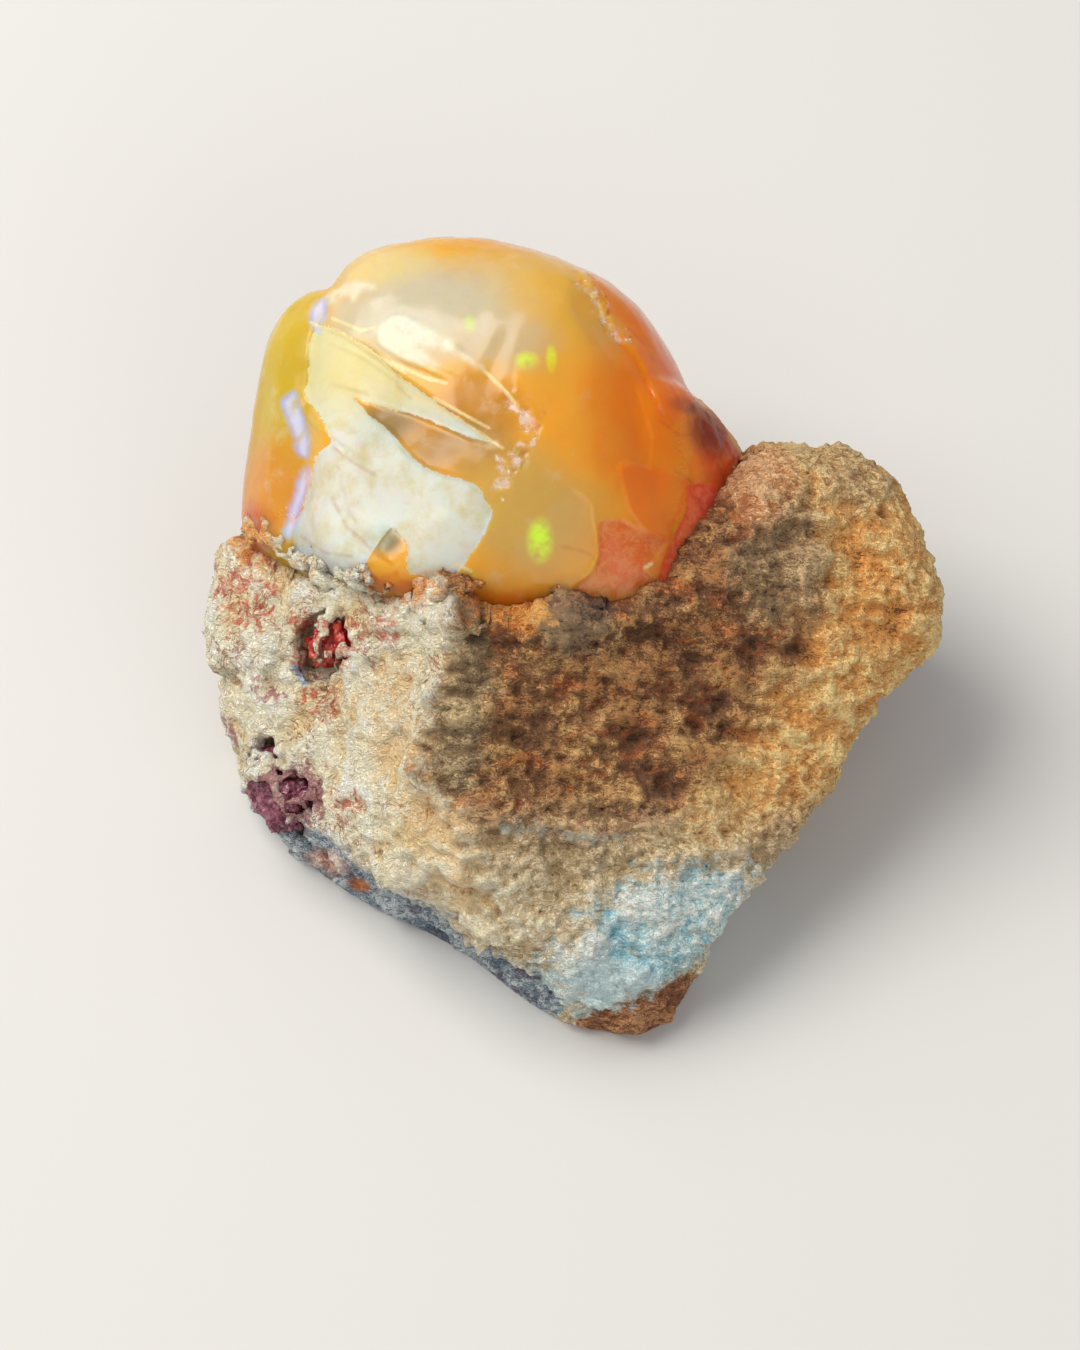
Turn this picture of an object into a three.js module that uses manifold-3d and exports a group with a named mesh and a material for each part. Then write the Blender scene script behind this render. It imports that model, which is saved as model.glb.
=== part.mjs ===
// Rough fire opal: a glassy opal nodule still held in a broken piece of the clay-like rhyolite that
// it grew in, with two small pockets of dark opal in the same host rock. Millimetres, +Z up.
//
// The specimen is laid out on its show face: X across it, Y up it, Z straight out of it. It rests on
// its broken back, so the whole of it is then leaned back and set down on the plane z = 0.
import * as THREE from "three";
import { mergeVertices } from "three/addons/utils/BufferGeometryUtils.js";
import Module from "manifold-3d";

const wasm = await Module();
wasm.setup();

// Driving dimensions.
const LEAN = THREE.MathUtils.degToRad(30); // from the show face lying level to the resting pose
const SEAT_HEIGHT = 9.9; // the layout's origin above the surface that the specimen rests on
const GAP = 0.3; // between the host rock and each opal set in it

// Unevenness between -1 and 1 at a point: three crossing waves that don't line up.
function unevenness({ x, y, z }, wavelength) {
  const k = (2 * Math.PI) / wavelength;
  const across = Math.sin(k * (x + 0.4 * y) + 0.6);
  const upward = Math.sin(k * (0.9 * y - 0.5 * z) + 1.7);
  const inward = Math.sin(k * (z + 0.6 * x) + 4.1);
  return (across + upward + inward) / 3;
}

// A lump of broken stone, as a closed geometry in the layout frame. Each break face is a direction it
// faces and a point it passes through. A ray from the centre stops at the nearest face, and a low
// sharpness rounds the corners between faces. grow moves every face outwards.
function lump({ centre, faces, sharpness, detail, wave }, grow = 0) {
  const middle = new THREE.Vector3(...centre);
  const planes = faces.map(([facing, through]) => {
    const normal = new THREE.Vector3(...facing).normalize();
    return { normal, reach: new THREE.Vector3(...through).sub(middle).dot(normal) + grow };
  });
  const sphere = new THREE.IcosahedronGeometry(1, detail);
  sphere.deleteAttribute("normal");
  sphere.deleteAttribute("uv");
  const geometry = mergeVertices(sphere, 1e-5);
  const position = geometry.getAttribute("position");
  const ray = new THREE.Vector3();
  for (let i = 0; i < position.count; i++) {
    ray.fromBufferAttribute(position, i).normalize();
    const nearness = planes.reduce(
      (sum, { normal, reach }) => sum + Math.max(0, normal.dot(ray) / reach) ** sharpness,
      0,
    );
    const reach = nearness ** (-1 / sharpness);
    ray.multiplyScalar(reach).add(middle);
    const swell = 1 + (wave.height * unevenness(ray, wave.length)) / reach;
    ray.sub(middle).multiplyScalar(swell).add(middle);
    position.setXYZ(i, ray.x, ray.y, ray.z);
  }
  return geometry;
}

// The layout's turn and lift into the resting pose.
const toRest = new THREE.Matrix4().makeRotationX(LEAN).setPosition(0, 0, SEAT_HEIGHT);

// A closed geometry as a manifold-3d solid.
function solidOf(geometry) {
  return new wasm.Manifold(
    new wasm.Mesh({
      numProp: 3,
      vertProperties: geometry.getAttribute("position").array,
      triVerts: new Uint32Array(geometry.index.array),
    }),
  );
}

// Several lumps grown together, as one solid in the resting pose.
function grownTogether(lumps, grow = 0) {
  return lumps
    .map((shape) => solidOf(lump(shape, grow).applyMatrix4(toRest)))
    .reduce((whole, next) => whole.add(next));
}

// ---------------------------------------------------------------------------------------------
// Opal nodule: a dome with a big conchoidal face on its left, a narrow column left of it, and a
// skirt at its lower right.

const smooth = { height: 0.15, length: 11 };

const dome = {
  centre: [-5, 7, -2.5],
  sharpness: 10,
  detail: 10,
  wave: smooth,
  faces: [
    [[-0.42, 0.15, 0.9], [-8.5, 5, 6]], // glare face
    [[0.12, 0.05, 0.99], [-1, 8, 7]], // middle of the front
    [[-0.15, 0.62, 0.77], [-6, 15.2, 4.2]], // brow
    [[-0.05, 1, -0.05], [-5, 18.9, -2]], // crown
    [[-0.42, 0.9, 0.1], [-9.9, 19, -1.5]], // upper left
    [[0.42, 0.9, 0.1], [1, 16.7, -1]], // upper right
    [[0.9, 0.42, 0.1], [4.6, 12.8, -1.5]], // right shoulder
    [[0.72, 0.12, 0.68], [3.2, 9, 3.6]], // right of the front
    [[0.05, -0.35, 0.93], [-2, 3, 6.3]], // lower front
    [[0.1, -0.97, 0.2], [1, 0.9, 5]], // lower right
    [[-0.5, -0.85, 0.15], [-10.5, 2.4, 2.5]], // lower left
    [[-0.95, 0.1, 0.28], [-12.7, 9, -1]], // left
    [[0, 0.15, -0.98], [-4, 7, -11]], // back
    [[-0.05, 0.75, -0.65], [-5, 14.5, -7]], // upper back
    [[-0.8, 0.25, -0.55], [-11, 8, -6.5]], // back left
    [[0.75, 0.1, -0.6], [3, 8, -7.5]], // back right
    [[0, -0.95, -0.3], [-5, -1.5, -5]], // root, inside the host rock
  ],
};

const skirt = {
  centre: [2, 6, -2.5],
  sharpness: 8,
  detail: 6,
  wave: smooth,
  faces: [
    [[0.77, 0.62, 0.1], [6.4, 9.6, -1]], // slope up to the shoulder
    [[0.93, -0.2, 0.3], [7.5, 5, 0.2]], // right
    [[0.66, -0.05, 0.75], [4.9, 4.5, 3.1]], // front
    [[0.2, 0, 0.98], [2, 5, 4.4]], // inside the dome
    [[0.1, -0.95, 0.1], [4, 1.2, 2]], // root
    [[0, 0.1, -1], [3, 6, -8]], // back
    [[-0.9, 0, 0], [-3, 6, -2]], // inside the dome
    [[-0.2, 0.9, 0], [0, 11, -2]], // inside the dome
  ],
};

const column = {
  centre: [-11.6, 9.2, -3.4],
  sharpness: 6,
  detail: 6,
  wave: smooth,
  faces: [
    [[-0.97, 0.15, 0.1], [-15, 9, -2.5]], // left
    [[-0.62, 0.76, 0], [-14.3, 15.2, -3]], // upper left
    [[0.1, 0.97, 0], [-12.2, 16.3, -3]], // top
    [[-0.45, 0.05, 0.88], [-13, 9, 0.6]], // front
    [[-0.4, -0.9, 0], [-13.5, 3, -3]], // root
    [[-0.6, 0.2, -0.75], [-13.2, 9, -6.5]], // back
    [[1, 0, 0], [-9, 9, -4]], // inside the dome
  ],
};

// ---------------------------------------------------------------------------------------------
// Pockets of dark opal that show on the host rock's left face.

const redPocket = {
  centre: [-11.1, -0.4, 0.6],
  sharpness: 4,
  detail: 3,
  wave: { height: 0.12, length: 2.5 },
  faces: [
    [[-0.66, 0, 0.75], [-11.6, -0.3, 1.15]],
    [[0.66, 0, -0.75], [-10.6, -0.4, -0.5]],
    [[0.7, 0.45, 0.6], [-9.7, 0.3, 0.9]],
    [[-0.7, -0.45, -0.6], [-12.2, -1.2, -0.2]],
    [[-0.3, 0.9, -0.3], [-11.3, 0.7, 0.6]],
    [[0.3, -0.9, 0.3], [-10.9, -1.5, 0.6]],
  ],
};

const purplePocket = {
  centre: [-13.4, -6.9, -2.2],
  sharpness: 4,
  detail: 4,
  wave: { height: 0.15, length: 3 },
  faces: [
    [[-0.7, -0.45, 0.55], [-14.5, -7.6, -1.6]],
    [[0.7, 0.45, -0.55], [-12.2, -6.2, -3]],
    [[0.6, -0.7, 0.4], [-12, -8.1, -1.6]],
    [[-0.6, 0.7, -0.4], [-14.6, -5.6, -2.8]],
    [[0.2, 0.45, 0.87], [-13.2, -6.2, -0.9]],
    [[-0.2, -0.45, -0.87], [-13.6, -7.4, -4]],
  ],
};

// ---------------------------------------------------------------------------------------------
// Host rock: one block with a broad front break and a side break that meet in a ridge, a lobe that
// stands out on the right, two knobs on the left rim, and a heel at the lower end.

const broken = { height: 0.35, length: 8 };

const block = {
  centre: [0, -4, -5],
  sharpness: 14,
  detail: 11,
  wave: broken,
  faces: [
    [[0.25, -0.12, 0.96], [-5.5, -0.7, 6.2]], // front break
    [[-0.66, -0.05, 0.75], [-5.5, -0.7, 6.2]], // side break, left of the ridge
    [[0, 0.75, 0.66], [-2, 2, 6]], // under the front of the opal
    [[-1, 0.05, -0.1], [-16.2, 0, -4]], // left wall
    [[-0.575, -0.765, 0.29], [-11, -9.3, 0.4]], // lower left wall
    [[0.1, -0.87, 0.48], [2.8, -16.6, 2.2]], // wall under the tip
    [[0.79, -0.59, -0.15], [9.6, -9.4, 1.5]], // undercut lower right wall
    [[0.97, 0.15, -0.1], [15.3, 1.5, 0.5]], // right rim
    [[0.68, 0.7, -0.1], [13.7, 5.3, 1]], // upper right rim
    [[0.05, 0.97, -0.1], [10, 7.2, 1]], // top of the lobe
    [[0, 0.87, -0.5], [0, 8.2, -6]], // back wall
    [[-0.72, 0.66, 0.1], [-15.5, 4.4, -4]], // left shoulder
    [[-0.6, 0.55, -0.6], [-14, 4.5, -8]], // back left
  ],
};

const lobe = {
  centre: [9.3, 2, -4],
  sharpness: 8,
  detail: 6,
  wave: broken,
  faces: [
    [[0.2, -0.1, 0.97], [11, 3, 2.4]], // front
    [[0.96, 0.2, 0.2], [16.9, 0.8, -0.5]], // right rim
    [[0.72, 0.68, 0.15], [14.8, 6.2, -0.5]], // upper right rim
    [[0.1, 0.97, 0.15], [10.4, 8.5, -0.5]], // top
    [[-0.8, 0.5, 0.2], [7.2, 7.8, -1]], // notch beside the opal
    [[0.62, -0.78, 0.1], [15.2, -1.3, -1]], // lower right
    [[0.75, 0.1, -0.65], [14.4, 2, -6]], // back right
    [[0.1, 0.75, -0.65], [9.5, 7.5, -7]], // upper back
    [[-0.5, -0.8, 0], [5, -3, -3]], // inside the block
    [[0, 0, -1], [9, 2, -11]], // back
  ],
};

const upperKnob = {
  centre: [-13.4, 1.6, -4],
  sharpness: 5,
  detail: 4,
  wave: broken,
  faces: [
    [[-1, 0.1, 0.1], [-17.2, 1.6, -4]],
    [[-0.6, 0.8, 0.1], [-15.8, 4.9, -4]],
    [[0.2, 0.9, 0.4], [-13, 5, -3]],
    [[-0.5, 0, 0.86], [-14.4, 1.6, -0.9]],
    [[0, -1, 0], [-13.4, -2, -4]],
    [[0.8, 0, -0.6], [-10.5, 1.6, -6]],
    [[-0.4, 0, -0.9], [-14, 1.6, -8]],
  ],
};

const lowerKnob = {
  centre: [-13, -3.6, -4.5],
  sharpness: 5,
  detail: 4,
  wave: broken,
  faces: [
    [[-1, -0.05, 0.1], [-16.6, -3.2, -4]],
    [[-0.5, 0.8, 0.2], [-15, 0, -4]],
    [[-0.6, -0.1, 0.8], [-14.6, -3.4, -1.6]],
    [[-0.6, -0.8, 0.1], [-15.2, -6.4, -4]],
    [[0.9, -0.3, -0.3], [-10, -4, -5]],
    [[-0.2, 0, -1], [-13, -3.6, -8]],
  ],
};

const heel = {
  centre: [2.8, -14, -1.5],
  sharpness: 6,
  detail: 4,
  wave: broken,
  faces: [
    [[-0.55, -0.83, 0.1], [0.9, -17.6, 0]],
    [[0.25, -0.97, 0.1], [3.2, -18.4, 0]],
    [[0.85, -0.5, 0.1], [5.5, -15.4, 0]],
    [[0.95, 0.25, 0.1], [5.8, -13, 0]],
    [[0.15, -0.35, 0.92], [3, -15.5, 1.5]],
    [[-0.2, 0.9, 0.4], [2, -9.5, 0]],
    [[-0.9, 0.2, 0.3], [-1.5, -13.5, 0]],
    [[0, 0, -1], [2.6, -14, -5]],
  ],
};

// ---------------------------------------------------------------------------------------------
// Assembly.

// Everything below z = 0, where the back of the host rock is broken off flat.
const underneath = solidOf(
  mergedBox(new THREE.BoxGeometry(80, 80, 40).translate(0, 0, -20)),
);

function mergedBox(box) {
  box.deleteAttribute("normal");
  box.deleteAttribute("uv");
  return mergeVertices(box, 1e-5);
}

// A solid as a named mesh of one material.
function meshOf(name, solid, material) {
  const { numProp, numVert, vertProperties, triVerts } = solid.getMesh();
  const positions = new Float32Array(numVert * 3);
  for (let i = 0; i < numVert; i++) {
    positions.set(vertProperties.subarray(i * numProp, i * numProp + 3), i * 3);
  }
  const geometry = new THREE.BufferGeometry();
  geometry.setAttribute("position", new THREE.BufferAttribute(positions, 3));
  geometry.setIndex(new THREE.BufferAttribute(triVerts, 1));
  geometry.computeVertexNormals();
  const mesh = new THREE.Mesh(geometry, material);
  mesh.name = name;
  return mesh;
}

const fireOpal = new THREE.MeshStandardMaterial({ color: 0xe0a24a, roughness: 0.08, metalness: 0 });
const darkOpal = new THREE.MeshStandardMaterial({ color: 0x8a3038, roughness: 0.12, metalness: 0 });
const rhyolite = new THREE.MeshStandardMaterial({ color: 0xb99a72, roughness: 0.95, metalness: 0 });

const nodule = [dome, skirt, column];
const hostRock = grownTogether([block, lobe, upperKnob, lowerKnob, heel])
  .subtract(underneath)
  .subtract(grownTogether(nodule, GAP))
  .subtract(grownTogether([redPocket], GAP))
  .subtract(grownTogether([purplePocket], GAP));

const specimen = new THREE.Group();
specimen.add(
  meshOf("opal_nodule", grownTogether(nodule), fireOpal),
  meshOf("red_opal_pocket", grownTogether([redPocket]), darkOpal),
  meshOf("purple_opal_pocket", grownTogether([purplePocket]), darkOpal),
  meshOf("host_rock", hostRock, rhyolite),
);

// The origin is the middle of the footprint box, at the surface that the specimen rests on.
const extent = new THREE.Box3().setFromObject(specimen);
const middle = extent.getCenter(new THREE.Vector3());
specimen.position.set(-middle.x, -middle.y, 0);

export default specimen;
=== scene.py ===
# %% [markdown]
# # Rough fire opal
#
# A glassy fire opal nodule sits in a wedge of clay-like rhyolite, as it was broken out of the rock.
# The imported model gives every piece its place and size. This script gives each one its broken
# surface, its colour and its depth. Everything is worked out in millimetres on the specimen's show
# face and turned into the frame's metres at the end, because stone texture is easier to think about
# as "a third of a millimetre deep" than as 0.0003.

# %% Load the frame
from math import radians
from random import Random

import bmesh
import bpy
import numpy as np
from mathutils import Matrix, Vector, noise
from mathutils.bvhtree import BVHTree


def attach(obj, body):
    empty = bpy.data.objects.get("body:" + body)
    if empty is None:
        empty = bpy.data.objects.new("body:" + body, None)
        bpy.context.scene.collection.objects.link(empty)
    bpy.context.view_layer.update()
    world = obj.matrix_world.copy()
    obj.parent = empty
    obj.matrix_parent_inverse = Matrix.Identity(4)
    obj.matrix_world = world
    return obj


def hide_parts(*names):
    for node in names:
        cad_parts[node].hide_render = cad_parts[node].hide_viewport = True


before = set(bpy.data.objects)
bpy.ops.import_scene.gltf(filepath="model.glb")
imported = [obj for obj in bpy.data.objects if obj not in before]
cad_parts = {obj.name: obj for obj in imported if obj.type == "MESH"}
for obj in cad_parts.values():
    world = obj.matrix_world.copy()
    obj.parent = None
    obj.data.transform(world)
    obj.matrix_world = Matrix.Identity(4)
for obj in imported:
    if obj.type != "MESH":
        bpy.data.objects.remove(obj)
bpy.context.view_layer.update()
print("CAD nodes:", sorted(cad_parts))

# %% [markdown]
# ## The show face
#
# The specimen lies on its broken back, so the face that a collector looks at leans back by 30
# degrees. `to_show` turns the frame's metres into millimetres on that face: u across it, v up it and
# w straight out of it. Placing a crack or a stain then takes two numbers and a depth. A rotation
# typed into each material would do the same, but one matrix keeps meshes and materials together.

# %% The show face
MM = 0.001
LEAN = radians(30)
SHOW_ORIGIN = Vector((0.3155, -0.5614, 9.9)) * MM

to_frame = Matrix.Translation(SHOW_ORIGIN) @ Matrix.Rotation(LEAN, 4, "X") @ Matrix.Scale(MM, 4)
to_show = to_frame.inverted()
print("middle of the show face, in metres:", [round(c, 5) for c in SHOW_ORIGIN])

# %% [markdown]
# ## Camera
#
# A long lens from straight above the show face keeps the outline free of perspective bulge. Because
# the face leans back, the camera ends up looking down at 60 degrees.

# %% Camera
LENS_MM = 100
SENSOR_MM = 36
VIEW_HEIGHT_MM = 60.75
VIEW_CENTRE = Vector((-1.71, -1.8, 0))
camera_distance = VIEW_HEIGHT_MM * LENS_MM / SENSOR_MM

camera_data = bpy.data.cameras.new("camera")
camera_data.lens = LENS_MM
camera_data.sensor_width = SENSOR_MM
camera_data.clip_start = 0.01
camera = bpy.data.objects.new("camera", camera_data)
camera.location = to_frame @ (VIEW_CENTRE + Vector((0, 0, camera_distance)))
camera.rotation_euler = (LEAN, 0, 0)
bpy.context.scene.collection.objects.link(camera)
bpy.context.scene.camera = camera
print("camera", round(camera_distance), "mm away")

# %% [markdown]
# ## Studio
#
# A pale sweep of floor, one large soft box high on the left, and a weak fill on the right. The big
# box stands to the side of the large left facet's mirror direction. The facet stays satin that way,
# and the soft reflection falls on the blades and the crown beside it. A standard view keeps the
# orange as vivid as it is mixed.

# %% Studio
def add_light(name, show_place, size_mm, watts, colour):
    """A square soft box that faces the middle of the specimen. Its place is in show millimetres."""
    data = bpy.data.lights.new(name, "AREA")
    data.shape = "SQUARE"
    data.size = size_mm * MM
    data.energy = watts
    data.color = colour
    light = bpy.data.objects.new(name, data)
    light.location = to_frame @ Vector(show_place)
    facing = (to_frame @ Vector((-3, 2, 0))) - light.location
    light.rotation_euler = facing.to_track_quat("-Z", "Y").to_euler()
    bpy.context.scene.collection.objects.link(light)
    return light


add_light("key soft box", (-205, 225, 215), 290, 2.0, (1.0, 0.97, 0.92))
add_light("fill soft box", (160, -170, 260), 300, 0.45, (1.0, 0.98, 0.95))

world = bpy.data.worlds.new("studio")
world.use_nodes = True
world.node_tree.nodes["Background"].inputs["Color"].default_value = (0.93, 0.95, 1.0, 1)
world.node_tree.nodes["Background"].inputs["Strength"].default_value = 0.5
bpy.context.scene.world = world
bpy.context.scene.view_settings.view_transform = "Standard"

FLOOR_HALF = 0.6
floor_bm = bmesh.new()
bmesh.ops.create_grid(floor_bm, x_segments=1, y_segments=1, size=FLOOR_HALF)
floor_mesh = bpy.data.meshes.new("floor")
floor_bm.to_mesh(floor_mesh)
floor_bm.free()
floor = bpy.data.objects.new("floor", floor_mesh)
bpy.context.scene.collection.objects.link(floor)
floor_paint = bpy.data.materials.new("pale floor")
floor_paint.use_nodes = True
floor_paint.node_tree.nodes["Principled BSDF"].inputs["Base Color"].default_value = (0.54, 0.53, 0.51, 1)
floor_paint.node_tree.nodes["Principled BSDF"].inputs["Roughness"].default_value = 0.9
floor.data.materials.append(floor_paint)
print("studio: 2 soft boxes, floor", 2 * FLOOR_HALF, "m wide")

# %% [markdown]
# ## Fine copies of the construction solids
#
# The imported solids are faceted, with triangles about a millimetre wide. Subdividing them would keep
# those facets, so each piece starts as a voxel remesh instead: an even skin of small quads, relaxed
# a little, that later steps push about like clay.

# %% Fine copies
def as_object(name, mesh):
    piece = bpy.data.objects.new(name, mesh)
    bpy.context.scene.collection.objects.link(piece)
    return piece


def baked(piece):
    """The piece's mesh with its modifiers applied."""
    depsgraph = bpy.context.evaluated_depsgraph_get()
    mesh = bpy.data.meshes.new_from_object(piece.evaluated_get(depsgraph))
    piece.modifiers.clear()
    piece.data = mesh
    return mesh


def fine_copy(node, name, voxel_mm, relaxing, add_more=None):
    """A CAD node as a fine even mesh in show millimetres. add_more may add solids to melt in."""
    bm = bmesh.new()
    bm.from_mesh(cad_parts[node].data)
    bmesh.ops.remove_doubles(bm, verts=bm.verts, dist=1e-6)
    bmesh.ops.transform(bm, matrix=to_show, verts=bm.verts)
    if add_more:
        add_more(bm)
    mesh = bpy.data.meshes.new(name)
    bm.to_mesh(mesh)
    bm.free()
    piece = as_object(name, mesh)
    remesh = piece.modifiers.new("even skin", "REMESH")
    remesh.mode = "VOXEL"
    remesh.voxel_size = voxel_mm
    relax = piece.modifiers.new("relax", "SMOOTH")
    relax.factor = 0.5
    relax.iterations = relaxing
    baked(piece)
    print(name, "has", len(piece.data.vertices), "vertices")
    return piece


def points_of(piece):
    """The mesh's vertices as an array of (u, v, w), and its vertex normals."""
    mesh = piece.data
    count = len(mesh.vertices)
    points = np.empty(count * 3)
    mesh.vertices.foreach_get("co", points)
    normals = np.empty(count * 3)
    mesh.vertex_normals.foreach_get("vector", normals)
    return points.reshape(-1, 3), normals.reshape(-1, 3)


def move_to(piece, points):
    piece.data.vertices.foreach_set("co", points.ravel())
    piece.data.update()


def finish_shape(piece, shading_smooth=True):
    """Turns a piece's show millimetres into the frame's metres."""
    piece.data.transform(to_frame)
    piece.data.polygons.foreach_set("use_smooth", [shading_smooth] * len(piece.data.polygons))
    piece.data.update()


def thin_out(piece, hidden, share):
    """Fewer and larger faces where hidden is true, down to a share of the whole."""
    group = piece.vertex_groups.new(name="hidden")
    group.add(np.flatnonzero(hidden).tolist(), 1.0, "REPLACE")
    fewer = piece.modifiers.new("fewer", "DECIMATE")
    fewer.ratio = share
    fewer.vertex_group = "hidden"
    fewer.vertex_group_factor = 10
    baked(piece)
    piece.vertex_groups.clear()
    triangles = sum(len(face.vertices) - 2 for face in piece.data.polygons)
    print(piece.name, "thinned to", triangles, "triangles")


OPAL_VOXEL_MM = 0.125
ROCK_VOXEL_MM = 0.145
POCKET_VOXEL_MM = 0.07
OPAL_SHARE = 0.64
ROCK_SHARE = 0.62
opal = fine_copy("opal_nodule", "fire_opal", OPAL_VOXEL_MM, 32)
points, normals = points_of(opal)
thin_out(opal, (points[:, 2] < -2) | (points[:, 1] < -0.5), OPAL_SHARE)

# %% [markdown]
# ## Outlines
#
# Breaks, plates and stains each have an edge. An outline is a short list of (u, v) corners in
# millimetres. `inside` measures how deep every vertex lies within it, in millimetres, and negative
# outside, so one measure serves for a sharp step, a soft stain or a coloured patch. Only points on
# the show side count, or the same outline would print through onto the back.

# %% Outlines
FAR_MM = 9


def smooth_step(value, low, high):
    share = np.clip((value - low) / (high - low), 0, 1)
    return share * share * (3 - 2 * share)


def rounded(outline, cuts=2):
    """The outline with its corners cut again and again, until it runs smoothly."""
    corners = np.array(outline, float)
    for _ in range(cuts):
        following = np.roll(corners, -1, axis=0)
        near_corner = 0.86 * corners + 0.14 * following
        far_corner = 0.14 * corners + 0.86 * following
        corners = np.stack([near_corner, far_corner], axis=1).reshape(-1, 2)
    return corners


def segments(line):
    return zip(line, line[1:])


def from_segment(points, start, end):
    """For each point: the share of a segment passed, the way from the segment and its length."""
    along_x, along_y = end[0] - start[0], end[1] - start[1]
    from_x, from_y = points[:, 0] - start[0], points[:, 1] - start[1]
    share = np.clip((from_x * along_x + from_y * along_y) / (along_x**2 + along_y**2), 0, 1)
    off_x, off_y = from_x - share * along_x, from_y - share * along_y
    return share, off_x, off_y, np.hypot(off_x, off_y)


def near_line(points, line):
    """Distance of each point, seen from the front, to a line of (u, v) points."""
    nearest = np.full(len(points), np.inf)
    for start, end in segments(line):
        nearest = np.minimum(nearest, from_segment(points, start, end)[3])
    return nearest


def along_lines(points, lines, half_width, behind):
    """How deep each point lies in some thin lines, negative beside them or further back than behind."""
    nearest = np.minimum.reduce([near_line(points, line) for line in lines])
    return half_width - nearest - FAR_MM * (points[:, 2] < behind)


def inside(points, outline, behind=-6):
    """Distance of each point inside an outline, negative outside it or further back than behind."""
    corners = rounded(outline)
    closed = np.vstack([corners, corners[:1]])
    within = np.zeros(len(points), bool)
    for (ax, ay), (bx, by) in segments(closed):
        crosses = (ay > points[:, 1]) != (by > points[:, 1])
        reach = ax + (points[:, 1] - ay) * (bx - ax) / ((by - ay) or 1e-9)
        within ^= crosses & (points[:, 0] < reach)
    depth = near_line(points, closed) * np.where(within, 1, -1)
    return np.minimum(depth, points[:, 2] - behind)


def beside(points, line):
    """For each point: its distance to a line, its side (1 left, -1 right), and 0 to 1 near the ends."""
    nearest = np.full(len(points), 1e9)
    side = np.zeros(len(points))
    travelled = np.zeros(len(points))
    total = 0.0
    for start, end in segments(line):
        share, off_x, off_y, away = from_segment(points, start, end)
        along_x, along_y = end[0] - start[0], end[1] - start[1]
        length = np.hypot(along_x, along_y)
        closer = away < nearest
        nearest = np.where(closer, away, nearest)
        side = np.where(closer, np.sign(along_x * off_y - along_y * off_x), side)
        travelled = np.where(closer, total + share * length, travelled)
        total += length
    return nearest, side, smooth_step(np.minimum(travelled, total - travelled), 0, 0.2 * total)


def keep_as(piece, name, values):
    """Stores one number for each vertex, for a material to read."""
    attribute = piece.data.attributes.new(name, "FLOAT", "POINT")
    attribute.data.foreach_set("value", np.asarray(values, np.float32))


square_depth = inside(np.zeros((1, 3)), [(-5, -5), (5, -5), (5, 5), (-5, 5)])[0]
print("the middle of a 10 mm square lies", round(square_depth, 2), "mm inside it")


# %% [markdown]
# ## The opal's break faces
#
# Opal has no cleavage. It breaks like thick glass, in shallow bowls with sharp rims. Each break here
# is a very large sphere that takes a slice off the dome: what stands above the bowl is pressed down
# onto it. Cutting with Boolean spheres would give the same shape, but it leaves sliver triangles
# that show in a mirror-like surface.

# %% The opal's break faces
def press_bowl(points, facing, slice_mm, bowl_radius, around, rim):
    """Takes a slice off along facing, down to a shallow bowl centred under the point around."""
    direction = np.array(facing, float)
    direction /= np.linalg.norm(direction)
    middle = np.array(around, float)
    height = (points - middle) @ direction
    sideways = np.linalg.norm(points - middle - np.outer(height, direction), axis=1)
    top = height[sideways < 1.5].max()
    bowl = top - slice_mm + bowl_radius - np.sqrt(np.maximum(bowl_radius**2 - sideways**2, 0))
    over = height - bowl
    pressed = 0.5 * (over + np.sqrt(over**2 + rim**2))
    pressed = np.where(height > -6, pressed, 0)
    return points - np.outer(pressed, direction)


points, normals = points_of(opal)
BREAKS = [
    # facing, slice taken off, bowl radius, a point on the break, how soft its rim is
    ((-0.46, 0.12, 0.88), 0.75, 70, (-8.2, 6.5, 5.2), 0.3),
    ((-0.16, 0.2, 0.97), 0.3, 50, (-3.6, 10.5, 6.4), 0.1),
    ((0.16, 0.24, 0.96), 0.2, 40, (-0.6, 9.0, 6.2), 0.3),
    ((-0.14, 0.68, 0.72), 0.12, 60, (-5.5, 16, 3.4), 0.3),
    ((0.64, 0.46, 0.6), 0.45, 40, (2.9, 13.0, 2.6), 0.14),
    ((0.74, 0.12, 0.66), 0.3, 34, (4.3, 9, 2.8), 0.3),
    ((0.3, -0.16, 0.94), 0.2, 26, (1.2, 4.8, 5.6), 0.3),
    ((-0.66, 0.56, 0.5), 0.3, 30, (-10.4, 15.6, 1.4), 0.2),
    ((-0.92, 0.1, 0.38), 0.3, 30, (-13.6, 9, -0.5), 0.2),
    ((-0.8, 0.15, -0.55), 0.6, 40, (-11.5, 9, -7), 0.1),
    ((0.1, 0.8, -0.6), 0.6, 45, (-4, 15.5, -7), 0.1),
    ((0.7, 0.45, -0.55), 0.6, 35, (3, 11, -7), 0.1),
]
for facing, slice_mm, bowl_radius, around, rim in BREAKS:
    points = press_bowl(points, facing, slice_mm, bowl_radius, around, rim)
move_to(opal, points)
print(len(BREAKS), "break faces on the opal")

# %% [markdown]
# ## Hackles, plates and cracks
#
# Where the break ran fast it left long blades on the left, and stepped plates at the lower right.
# Their edges, and the thin cracks and bright crests between them, are drawn here as short lines and
# outlines on the show face. A noise could scatter such marks, but not where this piece has them.

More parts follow.
